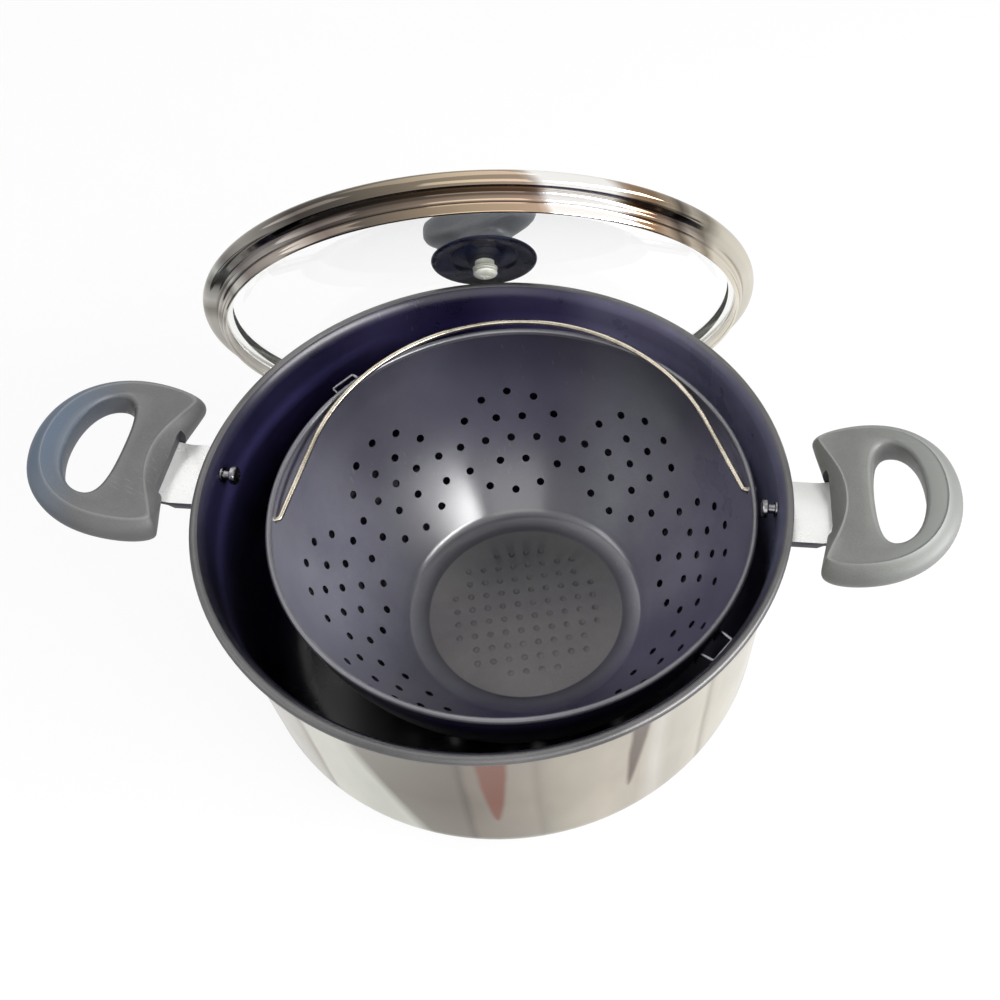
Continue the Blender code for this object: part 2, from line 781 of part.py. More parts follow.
def make_lid_ring():
    """Bead that rests on the pot's rim, groove for the glass, and a stepped skirt that goes inside."""
    slot = glass_thickness / 2 + fit
    bead_inside = glass_radius + fit
    lip = slot + lid_lip
    inner = lid_skirt_radius - lid_skirt_sheet
    profile = [
        (glass_flat_radius + 0.4 * mm, lip),
        (bead_inside + 0.5 * lid_bead, lip),
        (lid_radius - 0.3 * lid_bead, 0.75 * lid_bead),
        (lid_radius, 0.2 * lid_bead),
        (lid_radius - 0.12 * lid_bead, -0.7 * lid_bead),
        (lid_radius - 0.6 * lid_bead, -lip),
        (lid_step_radius, -lip - 0.3 * mm),
        (lid_step_radius - 0.3 * mm, -lid_step_depth),
        (lid_skirt_radius, -lid_step_depth - 0.6 * mm),
        (lid_skirt_radius - 0.3 * mm, 0.8 * mm - lid_skirt_depth),
        (lid_skirt_radius - 0.5 * lid_skirt_sheet, -lid_skirt_depth),
        (inner, 0.6 * mm - lid_skirt_depth),
        (inner, -lip - 0.4 * mm),
        (glass_flat_radius + 0.4 * mm, -lip),
        (glass_flat_radius + 0.4 * mm, -slot),
        (bead_inside, -slot),
        (bead_inside, slot),
        (glass_flat_radius + 0.4 * mm, slot),
    ]
    return turned("lid_ring", profile, ring_steel, lid_frame, steps=round_steps, closed=True)


def make_knob_fastening():
    bore = knob_screw_radius + fit
    washer = ring_profile(washer_radius, bore, washer_low, washer_top)
    turned("knob_washer", washer, zinc, lid_frame, steps=20, closed=True)
    gasket = ring_profile(gasket_radius, bore, gasket_low, gasket_top)
    turned("knob_gasket", gasket, rubber, lid_frame, steps=20, closed=True)
    tip = head_top + knob_screw_length
    screw = [
        (0.0, tip),
        (knob_screw_radius - 0.6 * mm, tip),
        (knob_screw_radius, tip - 0.8 * mm),
        (knob_screw_radius, head_top),
        (knob_screw_head_radius, head_top),
        (knob_screw_head_radius, head_top - 0.35 * knob_screw_head),
        (knob_screw_head_radius * 0.75, head_top - 0.8 * knob_screw_head),
        (knob_screw_head_radius * 0.35, head_low),
        (0.0, head_low),
    ]
    turned("knob_screw", screw, zinc, lid_frame, steps=16)
    insert = ring_profile(insert_radius, bore, grip_low + 0.4 * mm, grip_low + insert_length)
    turned("knob_insert", insert, brass, lid_frame, closed=True)


def make_knob_base():
    """A dished flange: its edge stands on the glass, with a stepped hollow and a middle boss beneath."""
    edge = knob_base_radius
    bore = knob_screw_radius + 2 * fit
    boss = knob_neck_half_width - 1.5 * mm
    profile = [
        (bore, base_top),
        (knob_neck_half_width, base_top),
        (0.75 * edge, base_low + 0.62 * (base_top - base_low)),
        (edge - 0.35 * knob_base_edge, base_low + knob_base_edge),
        (edge, base_low + 0.55 * knob_base_edge),
        (edge - 0.3 * knob_base_edge, base_low),
        (edge - knob_base_edge, base_low),
        (0.84 * edge, base_low + 1.3 * mm),
        (0.62 * edge, boss_low + 0.25 * knob_base_height),
        (boss + 0.6 * mm, boss_low + 0.25 * knob_base_height),
        (boss, boss_low),
        (bore, boss_low),
    ]
    return turned("knob_base", profile, phenolic, lid_frame, steps=32, closed=True)


def make_knob_grip():
    """A bar on a waisted neck, lofted through rounded sections of unlike size."""
    levels = [
        (0.0, knob_neck_half_length, knob_neck_half_width),
        (0.1, 0.91 * knob_neck_half_length, 0.9 * knob_neck_half_width),
        (0.2, 0.95 * knob_neck_half_length, 0.92 * knob_neck_half_width),
        (0.3, 0.64 * knob_half_length, 0.88 * knob_half_width),
        (0.4, 0.9 * knob_half_length, 0.95 * knob_half_width),
        (0.56, knob_half_length, knob_half_width),
        (0.82, 0.99 * knob_half_length, 0.96 * knob_half_width),
        (0.95, 0.9 * knob_half_length, 0.78 * knob_half_width),
        (1.0, 0.7 * knob_half_length, 0.5 * knob_half_width),
    ]
    around = 20
    squareness = 0.8
    mesh = bpy.data.meshes.new("knob_grip")
    shape = bmesh.new()
    rings = []
    for share, half_length, half_width in levels:
        ring = []
        for i in range(around):
            angle = 2 * math.pi * i / around
            c, s = math.cos(angle), math.sin(angle)
            x = half_length * math.copysign(abs(c) ** squareness, c)
            y = half_width * math.copysign(abs(s) ** squareness, s)
            ring.append(shape.verts.new((x, y, grip_low + share * knob_height)))
        rings.append(ring)
    for low, high in zip(rings, rings[1:]):
        for i in range(around):
            j = (i + 1) % around
            shape.faces.new((low[i], low[j], high[j], high[i]))
    shape.faces.new(reversed(rings[0]))
    shape.faces.new(rings[-1])
    shape.to_mesh(mesh)
    shape.free()
    mesh.shade_smooth()
    mesh.set_sharp_from_angle(angle=50 * deg)
    grip = put("knob_grip", mesh, phenolic, lid_frame)
    grip.rotation_euler = (0, 0, knob_turn)
    pocket = turned(
        "insert_pocket_cutter",
        [
            (0.0, grip_low + insert_length + fit),
            (insert_radius + fit, grip_low + insert_length + fit),
            (insert_radius + fit, grip_low - 3 * mm),
            (0.0, grip_low - 3 * mm),
        ],
        None, lid_frame, collection=cutters,
    )
    cut(grip, pocket)
    return grip


make_lid_glass()
make_lid_ring()
make_knob_fastening()
make_knob_base()
make_knob_grip()
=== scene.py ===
import math
from functools import partial

import bmesh
import bpy
from mathutils import Euler, Matrix, Vector


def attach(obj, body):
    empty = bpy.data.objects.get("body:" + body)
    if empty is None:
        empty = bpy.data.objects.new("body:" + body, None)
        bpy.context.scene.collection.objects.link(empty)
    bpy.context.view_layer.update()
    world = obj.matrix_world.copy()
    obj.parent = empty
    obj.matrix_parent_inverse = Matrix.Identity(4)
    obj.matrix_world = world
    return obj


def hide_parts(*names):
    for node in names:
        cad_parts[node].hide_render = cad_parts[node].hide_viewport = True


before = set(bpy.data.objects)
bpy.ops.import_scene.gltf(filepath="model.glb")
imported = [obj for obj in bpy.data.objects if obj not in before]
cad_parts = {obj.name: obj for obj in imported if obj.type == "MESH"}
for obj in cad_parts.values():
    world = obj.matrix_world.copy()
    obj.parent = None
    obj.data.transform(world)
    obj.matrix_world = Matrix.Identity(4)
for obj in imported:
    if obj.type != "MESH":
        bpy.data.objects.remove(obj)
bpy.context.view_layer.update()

mm = 0.001


# everyday moves
def leaveEdit():
    if bpy.context.mode != "OBJECT":
        bpy.ops.object.mode_set(mode="OBJECT")
    bpy.ops.object.select_all(action="DESELECT")


def pick(*pieces):
    leaveEdit()
    for piece in pieces:
        piece.select_set(True)
    bpy.context.view_layer.objects.active = pieces[0]


def applyModifiers(piece):
    pick(piece)
    for name in [modifier.name for modifier in piece.modifiers]:
        bpy.ops.object.modifier_apply(modifier=name)


def setDown(piece, place=None):  # the place goes into the mesh
    pick(piece)
    if place is not None:
        piece.matrix_world = place @ piece.matrix_world
    bpy.ops.object.transform_apply(location=True, rotation=True, scale=True)


def turned(axis, angle):
    return Matrix.Rotation(math.radians(angle), 4, axis)


def shadeSmooth(piece, angle):
    pick(piece)
    bpy.ops.object.shade_smooth_by_angle(angle=math.radians(angle))


def tidyMesh():
    bpy.ops.mesh.select_all(action="SELECT")
    bpy.ops.mesh.remove_doubles(threshold=0.002 * mm)
    bpy.ops.mesh.normals_make_consistent(inside=False)


def softenEdges(piece, width, segments, angle):
    bevel = piece.modifiers.new("softEdges", "BEVEL")
    bevel.width = width * mm
    bevel.segments = segments
    bevel.limit_method = "ANGLE"
    bevel.angle_limit = math.radians(angle)
    applyModifiers(piece)


def carve(piece, cutter):
    boolean = piece.modifiers.new("carve", "BOOLEAN")
    boolean.object = cutter
    boolean.solver = "EXACT"
    boolean.material_mode = "TRANSFER"
    applyModifiers(piece)
    bpy.data.objects.remove(cutter, do_unlink=True)


def spun(name, profile, steps):
    # one vertex is drawn out along the profile (radius, height, in mm), then spun about Z
    leaveEdit()
    bpy.ops.mesh.primitive_plane_add(size=mm)
    piece = bpy.context.object
    piece.name = piece.data.name = name
    bpy.ops.object.mode_set(mode="EDIT")
    bpy.ops.mesh.merge(type="CENTER")
    bpy.ops.transform.translate(value=(profile[0][0] * mm, 0, profile[0][1] * mm))
    for here, there in zip(profile, profile[1:]):
        step = ((there[0] - here[0]) * mm, 0, (there[1] - here[1]) * mm)
        bpy.ops.mesh.extrude_region_move(TRANSFORM_OT_translate={"value": step})
    bpy.ops.mesh.select_all(action="SELECT")
    bpy.ops.mesh.spin(steps=steps, angle=2 * math.pi, center=(0, 0, 0), axis=(0, 0, 1))
    tidyMesh()
    leaveEdit()
    return piece


def arcPoints(center, radius, start, end, count):
    turns = [math.radians(start + (end - start) * i / (count - 1)) for i in range(count)]
    return [(center[0] + radius * math.cos(t), center[1] + radius * math.sin(t)) for t in turns]


def roundedPath(corners, radius, steps=5):
    corners = [Vector(corner) for corner in corners]
    path = [corners[0]]
    for before, corner, after in zip(corners, corners[1:], corners[2:]):
        back = (before - corner).normalized()
        ahead = (after - corner).normalized()
        half = back.angle(ahead) / 2
        middle = corner + (back + ahead).normalized() * radius / math.sin(half)
        first = corner + back * radius / math.tan(half) - middle
        last = corner + ahead * radius / math.tan(half) - middle
        path += [middle + first.slerp(last, i / steps) for i in range(steps + 1)]
    return path + [corners[-1]]


def wirePiece(name, path, radius, swell):
    curve = bpy.data.curves.new(name, "CURVE")
    curve.dimensions = "3D"
    curve.bevel_depth = radius * mm
    curve.bevel_resolution = 4
    curve.use_fill_caps = True
    spline = curve.splines.new("POLY")
    spline.points.add(len(path) - 1)
    for place, point, grown in zip(spline.points, path, swell):
        place.co = (*(Vector(point) * mm), 1)
        place.radius = grown
    piece = bpy.data.objects.new(name, curve)
    bpy.context.collection.objects.link(piece)
    pick(piece)
    bpy.ops.object.convert(target="MESH")
    piece = bpy.context.object
    bpy.ops.object.mode_set(mode="EDIT")
    tidyMesh()
    leaveEdit()
    shadeSmooth(piece, 40)
    return piece


def drill(name, radius, depth, sides):
    leaveEdit()
    bpy.ops.mesh.primitive_cylinder_add(vertices=sides, radius=radius * mm, depth=depth * mm)
    bpy.context.object.name = name
    return bpy.context.object


def cutBox(piece, size, material=None, **place):  # the size in mm
    leaveEdit()
    bpy.ops.mesh.primitive_cube_add(size=mm, scale=size, **place)
    if material:
        bpy.context.object.data.materials.append(material)
    carve(piece, bpy.context.object)


def cutRound(piece, name, radius, depth, place):  # upright
    cutter = drill(name, radius, depth, 32)
    cutter.location = [value * mm for value in place]
    carve(piece, cutter)


def copied(piece, places):  # copies with their own meshes, joined into one
    copies = []
    for place in places:
        copy = piece.copy()
        copy.data = piece.data.copy()
        copy.matrix_world = place
        bpy.context.collection.objects.link(copy)
        copies.append(copy)
    bpy.data.objects.remove(piece, do_unlink=True)
    bpy.context.view_layer.update()
    pick(*copies)
    bpy.ops.object.join()
    joined = bpy.context.object
    setDown(joined)
    return joined


def paint(piece, materials, rule):
    # the rule gives the number of a face's material, from the face, its height and its distance from the axis
    for material in materials:
        piece.data.materials.append(material)
    for face in piece.data.polygons:
        face.material_index = rule(face, face.center.z / mm, math.hypot(*face.center.xy) / mm)


def skin(shape, rings):  # faces from each ring of vertices to the next
    for low, high in zip(rings, rings[1:]):
        for i in range(len(low)):
            j = (i + 1) % len(low)
            shape.faces.new((low[i], low[j], high[j], high[i]))


def meshPiece(name, shape):
    mesh = bpy.data.meshes.new(name)
    shape.to_mesh(mesh)
    shape.free()
    piece = bpy.data.objects.new(name, mesh)
    bpy.context.collection.objects.link(piece)
    return piece


def finishPiece(piece, body, nodeName, material=None, place=None, smooth=None):
    if place is not None:
        setDown(piece, place)
    if smooth:
        shadeSmooth(piece, smooth)
    if material:
        piece.data.materials.clear()
        piece.data.materials.append(material)
    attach(piece, body)
    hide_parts(nodeName)


def dress(nodeName, material):  # a CAD node that stays gets its finish
    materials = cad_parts[nodeName].data.materials
    materials.clear()
    materials.append(material)


# finishes: small helpers, then groups, then materials
tree = None  # the node tree that is being built


def spaced(named):  # keyword names stand for socket names, with _ for a space
    return {label.replace("_", " "): value for label, value in named.items()}


def node(kind, given=None, **settings):
    made = tree.nodes.new("ShaderNode" + kind)
    for key, value in settings.items():
        setattr(made, key, value)
    for label, source in (given or {}).items():
        if isinstance(source, bpy.types.NodeSocket):
            tree.links.new(source, made.inputs[label])
        else:
            made.inputs[label].default_value = source
    return made


def link(sockets, **sources):
    for label, source in spaced(sources).items():
        tree.links.new(source, sockets[label])


def mathNode(operation, first, second=0.0):
    return node("Math", {0: first, 1: second}, operation=operation).outputs[0]


times, plus, minus, larger, above = (
    partial(mathNode, operation) for operation in ("MULTIPLY", "ADD", "SUBTRACT", "MAXIMUM", "GREATER_THAN"))


def mixColor(share, first, second, blend="MIX"):
    return node("Mix", {0: share, 6: first, 7: second}, data_type="RGBA", blend_type=blend).outputs[2]


def mapRange(value, low, high, newLow=0.0, newHigh=1.0, **settings):
    ends = {"Value": value, "From Min": low, "From Max": high, "To Min": newLow, "To Max": newHigh}
    return node("MapRange", ends, **settings).outputs["Result"]


def noise(where, scale, detail, roughness=0.5):
    given = {"Vector": where, "Scale": scale, "Detail": detail, "Roughness": roughness}
    return node("TexNoise", given).outputs["Fac"]


def parted(where):
    return node("SeparateXYZ", {0: where}).outputs


def greyed(value):
    return node("CombineColor", {0: value, 1: value, 2: value}).outputs[0]


def ramp(value, stops, smooth=False):
    made = node("ValToRGB", {"Fac": value})
    made.color_ramp.interpolation = "EASE" if smooth else "LINEAR"
    elements = made.color_ramp.elements
    while len(elements) < len(stops):
        elements.new(0.5)
    for element, (place, *color) in zip(elements, sorted(stops)):
        element.position = place
        element.color = (*color, 1)
    return made.outputs["Color"]


def nodeGroup(name, inputs, outputs):
    # an input that starts as None is a vector, as a tuple a color, and else a number
    global tree
    tree = group = bpy.data.node_groups.new(name, "ShaderNodeTree")
    for label, value in inputs.items():
        kind = "Vector" if value is None else "Color" if isinstance(value, tuple) else "Float"
        socket = group.interface.new_socket(label, in_out="INPUT", socket_type="NodeSocket" + kind)
        if value is not None:
            socket.default_value = value
    for label in outputs:
        kind = "Color" if label == "Color" else "Float"
        group.interface.new_socket(label, in_out="OUTPUT", socket_type="NodeSocket" + kind)
    return group, group.nodes.new("NodeGroupInput").outputs, group.nodes.new("NodeGroupOutput").inputs


def mottleGroup():
    # slow and fine colour change, with a roughness and a fine grain that go with it
    group, given, result = nodeGroup("mottle", {
        "Vector": None, "Scale": 40.0, "Grain Scale": 1500.0, "Dark": (0.1, 0.1, 0.1, 1), "Light": (0.2, 0.2, 0.2, 1),
        "Smooth": 0.3, "Rough": 0.5}, ("Color", "Roughness", "Height"))
    slow = noise(given["Vector"], given["Scale"], 5.0, 0.6)
    fine = noise(given["Vector"], given["Grain Scale"], 2.0)
    blend = plus(times(slow, 0.7), times(fine, 0.3))
    color = mixColor(mapRange(blend, 0.35, 0.65), given["Dark"], given["Light"])
    rough = mapRange(slow, 0.3, 0.7, given["Smooth"], given["Rough"])
    link(result, Color=color, Roughness=rough, Height=fine)
    return group


def scratchGroup():
    # thin straight marks that gather in patches
    starts = {"Vector": None, "Turn": 0.6, "Scale": 30.0, "Amount": 0.5}
    group, given, result = nodeGroup("scratches", starts, ("Mask",))
    leaning = node("VectorRotate", {"Vector": given["Vector"], "Angle": given["Turn"],
                                    "Axis": (0.3, 0.5, 0.8)}, rotation_type="AXIS_ANGLE")
    drawn = node("VectorMath", {0: leaning.outputs[0], 1: (1, 38.0, 6.0)}, operation="MULTIPLY")
    thin = mapRange(noise(drawn.outputs[0], given["Scale"], 1), 0.7, 0.76)
    patch = mapRange(noise(given["Vector"], 22.0, 2.0), 0.52, 0.62)
    link(result, Mask=times(times(thin, patch), given["Amount"]))
    return group


def turnedGroup():
    # marks that run round a turned piece, and soft changes from one side of it to the next
    group, given, result = nodeGroup("turnedMetal", {"Vector": None, "Sides": 3.0, "Lines": 900.0},
                                     ("Share", "Angle", "Radius", "Height"))
    parts = parted(given["Vector"])
    flat = node("CombineXYZ", {0: parts[0], 1: parts[1]}).outputs[0]
    unit = node("VectorMath", {0: flat}, operation="NORMALIZE").outputs[0]
    size = node("VectorMath", {0: flat}, operation="LENGTH").outputs["Value"]
    lifted = node("CombineXYZ", {2: times(parts[2], 4.0)}).outputs[0]
    path = node("VectorMath", {0: unit, 1: lifted}, operation="ADD").outputs[0]
    angle = mapRange(mathNode("ARCTAN2", parts[1], parts[0]), -math.pi, math.pi)
    line = node("CombineXYZ", {0: size, 1: parts[2]}).outputs[0]
    link(result, Share=noise(path, given["Sides"], 3.0, 0.55), Angle=angle, Radius=size,
         Height=noise(line, given["Lines"], 2.0))
    return group


def streakGroup():
    # one upright painted reflection streak on a turned wall: its middle and half width change from the top down to
    # its tip
    group, given, result = nodeGroup("paintedReflectionStreak", {
        "Angle": 0.5, "Height": 0.05, "Top": 0.105, "Tip": 0.025, "Top Angle": 0.25, "Tip Angle": 0.25,
        "Half Width": 0.007}, ("Mask",))
    along = mapRange(given["Height"], given["Tip"], given["Top"])
    middle = mapRange(along, 0, 1, given["Tip Angle"], given["Top Angle"])
    lean = mathNode("ABSOLUTE", minus(given["Angle"], middle))
    half = times(mathNode("POWER", along, 0.42), given["Half Width"])
    mask = mapRange(minus(half, lean), -0.0008, 0.003, interpolation_type="SMOOTHSTEP")
    link(result, Mask=times(mask, above(along, 0.001)))
    return group


mottle, scratches, turnedMetal, paintedReflectionStreak = mottleGroup(), scratchGroup(), turnedGroup(), streakGroup()


def newMaterial(name, **plain):
    global tree
    material = bpy.data.materials.new(name)
    material.use_nodes = True
    tree = material.node_tree
    shader = tree.nodes["Principled BSDF"].inputs
    for label, value in spaced(plain).items():
        shader[label].default_value = value
    return material, shader, node("TexCoord").outputs["Object"]


def useGroup(group, **given):
    return node("Group", spaced(given), node_tree=group).outputs


def addBump(shader, height, strength, distance):
    bump = node("Bump", {"Height": height, "Strength": strength, "Distance": distance * mm})
    link(shader, Normal=bump.outputs[0])


def cover(shader, look, color, strength, distance):
    link(shader, Base_Color=color, Roughness=look["Roughness"])
    addBump(shader, look["Height"], strength, distance)


def mottleLook(where, dark, light, smooth, rough, scale, grain):
    return useGroup(mottle, Vector=where, Scale=scale, Grain_Scale=grain, Dark=(*dark, 1), Light=(*light, 1),
                    Smooth=smooth, Rough=rough)


def marked(where, turn, scale, amount, color, markColor):
    mask = useGroup(scratches, Vector=where, Turn=turn, Scale=scale, Amount=amount)["Mask"]
    return mixColor(mask, color, (*markColor, 1))


def mottled(name, dark, light, smooth, rough, scale, grain, bump, depth, metallic=0.0, **plain):
    material, shader, where = newMaterial(name, Metallic=metallic, **plain)
    look = mottleLook(where, dark, light, smooth, rough, scale, grain)
    cover(shader, look, look["Color"], bump, depth)
    return material


def insideCoat():
    # near-black coat with painted light by angle and height: painted highlights in violet grey from the right round
    # to the back, and a painted glow in a belt under the rim
    material, shader, where = newMaterial("potInsideCoat", Specular_IOR_Level=0.42)
    look = mottleLook(where, (0.55, 0.55, 0.62), (1.25, 1.2, 1.3), 0.24, 0.36, 16.0, 2600.0)
    # painted highlights and painted shade by angle: violet grey from the right round to the back, near black on the
    # left and the front
    tint_with_painted_light = ramp(useGroup(turnedMetal, Vector=where, Sides=2.2, Lines=300.0)["Angle"], [
        (0, 0.01, 0.009, 0.026), (0.09, 0.003, 0.003, 0.007), (0.28, 0.003, 0.003, 0.008),
        (0.41, 0.015, 0.015, 0.025), (0.5, 0.09, 0.095, 0.14), (0.69, 0.1, 0.098, 0.15), (0.735, 0.03, 0.026, 0.062),
        (0.8, 0.008, 0.006, 0.024), (0.85, 0.014, 0.012, 0.034), (0.9, 0.007, 0.006, 0.02),
        (1, 0.01, 0.009, 0.026)], True)
    level = parted(where)[2]
    # painted glow: up to 3.4 times paler in a belt under the rim, and painted shade lower down
    glow = times(mapRange(level, 0.086, 0.098, 3.4, 1), mapRange(level, 0.062, 0.084, 0.2, 1))
    tint_with_painted_light = mixColor(1, tint_with_painted_light, greyed(glow), "MULTIPLY")
    shade = mixColor(1, tint_with_painted_light, look["Color"], "MULTIPLY")
    cover(shader, look, marked(where, 0.7, 26.0, 0.35, shade, (0.14, 0.13, 0.18)), 0.08, 0.04)
    return material


def bowlCoat():
    # grey coat with painted light and shade: painted highlights on the sides, dark violet at the front and the back,
    # painted shade high on the back wall and in the heel, and a paler tint on the flat base that is lighter at the
    # front and darker towards the back
    material, shader, where = newMaterial("strainerCoat", Specular_IOR_Level=0.3, Coat_Roughness=0.2, Coat_IOR=1.95)
    look = mottleLook(where, (0.7, 0.68, 0.78), (1.3, 1.3, 1.25), 0.27, 0.35, 13.0, 3200.0)
    centered = node("Mapping", {"Vector": where, "Location": (-0.0068, -0.0007, 0)}).outputs[0]
    polar = useGroup(turnedMetal, Vector=centered, Sides=2.2, Lines=300.0)
    angle, radius = polar["Angle"], polar["Radius"]
    # painted highlights and painted shade by angle, around the bowl's own axis
    tint_with_painted_light = ramp(angle, [
        (0, 0.12, 0.12, 0.145), (0.06, 0.155, 0.16, 0.19), (0.14, 0.12, 0.12, 0.155), (0.235, 0.03, 0.026, 0.068),
        (0.34, 0.028, 0.025, 0.06), (0.44, 0.09, 0.082, 0.14), (0.53, 0.155, 0.15, 0.2), (0.65, 0.155, 0.155, 0.185),
        (0.75, 0.045, 0.042, 0.068), (0.9, 0.04, 0.04, 0.052), (1, 0.12, 0.12, 0.145)], True)
    along, level = parted(where)[1:]
    # painted shade: near black on the upper back wall
    painted_back_shade = times(mapRange(angle, 0.56, 0.62), mapRange(angle, 0.8, 0.84, 1, 0))
    painted_back_shade = times(painted_back_shade, mapRange(level, 0.04, 0.08, 0, 0.62))
    # painted shade in the heel, where the wall meets the base
    painted_heel_shade = mapRange(radius, 0.05, 0.062, 0.74, 0)
    tint_with_painted_light = mixColor(larger(painted_back_shade, painted_heel_shade), tint_with_painted_light, (0.006, 0.005, 0.014, 1))
    # the base's tint, painted lighter at the front and in painted shade towards the back
    disc_with_painted_shade = ramp(mapRange(along, -0.048, 0.048), [
        (0, 0.175, 0.164, 0.165), (0.4, 0.145, 0.137, 0.136), (1, 0.05, 0.05, 0.053)], True)
    tint_with_painted_light = mixColor(mapRange(radius, 0.0482, 0.049, 1, 0), tint_with_painted_light, disc_with_painted_shade)
    shade = mixColor(1, tint_with_painted_light, look["Color"], "MULTIPLY")
    cover(shader, look, marked(where, 1.9, 34.0, 0.1, shade, (0.3, 0.3, 0.32)), 0.12, 0.04)
    link(shader, Coat_Weight=mapRange(level, 0.006, 0.0085, 0, 0.9))
    return material


def wallSteel():
    # painted reflections on the polished wall: upright bands and thin lines placed by angle, a pale painted
    # reflection on the left, and two tapering painted reflection streaks
    material, shader, where = newMaterial("polishedWallSteel", Roughness=0.16, Metallic=1.0,
                                          Specular_Tint=(0.9, 0.88, 0.85, 1))
    look = useGroup(turnedMetal, Vector=where, Sides=2.6, Lines=700.0)
    wander = times(minus(look["Share"], 0.5), 0.009)
    angle = plus(look["Angle"], wander)
    painted_reflection_bands = ramp(angle, [
        (0, 0.5, 0.49, 0.45), (0.09, 0.42, 0.42, 0.38), (0.155, 0.54, 0.53, 0.47), (0.16, 0.2, 0.16, 0.11),
        (0.164, 0.8, 0.82, 0.76), (0.187, 0.78, 0.81, 0.74), (0.193, 0.155, 0.14, 0.12), (0.2488, 0.19, 0.17, 0.145),
        (0.2508, 0.07, 0.055, 0.045), (0.2528, 0.23, 0.2, 0.17), (0.2885, 0.4, 0.37, 0.32), (0.2908, 0.15, 0.12, 0.1),
        (0.2931, 0.42, 0.39, 0.33), (0.325, 0.68, 0.62, 0.53), (0.345, 0.64, 0.59, 0.51), (0.354, 0.93, 0.9, 0.84),
        (0.362, 0.76, 0.72, 0.64), (0.389, 0.9, 0.86, 0.75), (0.392, 0.24, 0.18, 0.11), (0.395, 0.9, 0.87, 0.76),
        (0.44, 0.88, 0.86, 0.75), (0.56, 0.55, 0.53, 0.48), (0.7, 0.7, 0.68, 0.62), (0.86, 0.46, 0.44, 0.4),
        (1, 0.5, 0.49, 0.45)])
    level = parted(where)[2]
    edge = mapRange(level, 0, 0.09, 0.2275, 0.194)  # the pale painted reflection on the left reaches further round low down
    pale = mapRange(minus(edge, angle), -0.004, 0.005)
    pale = times(pale, above(angle, 0.186))
    painted_reflection_bands = mixColor(pale, painted_reflection_bands, (0.76, 0.79, 0.73, 1))
    # two painted reflection streaks that taper downwards, one reddish brown and one dark
    for color, high, tip, topAngle, tipAngle, half in (
            ((0.22, 0.068, 0.044, 1), 0.11, 0.04, 0.2676, 0.2655, 0.0098),
            ((0.165, 0.125, 0.11, 1), 0.112, 0.044, 0.3445, 0.3385, 0.0068)):
        painted_streak = useGroup(paintedReflectionStreak, Angle=angle, Height=level, Top=high, Tip=tip, Top_Angle=topAngle,
                        Tip_Angle=tipAngle, Half_Width=half)["Mask"]
        painted_reflection_bands = mixColor(painted_streak, painted_reflection_bands, color)
    clouds = greyed(mapRange(look["Share"], 0.3, 0.7, 0.65, 0.87))
    link(shader, Base_Color=mixColor(1, painted_reflection_bands, clouds, "MULTIPLY"))
    addBump(shader, look["Height"], 0.06, 0.03)
    return material


# the lid's own frame: Z towards the knob, leaning back over the pot's rim
lidPlace = Matrix.Translation(Vector((-15.95, 94.3, 114.2)) * mm)
lidPlace = lidPlace @ Euler((math.radians(24.46 - 90), 0, math.radians(10.2))).to_matrix().to_4x4()


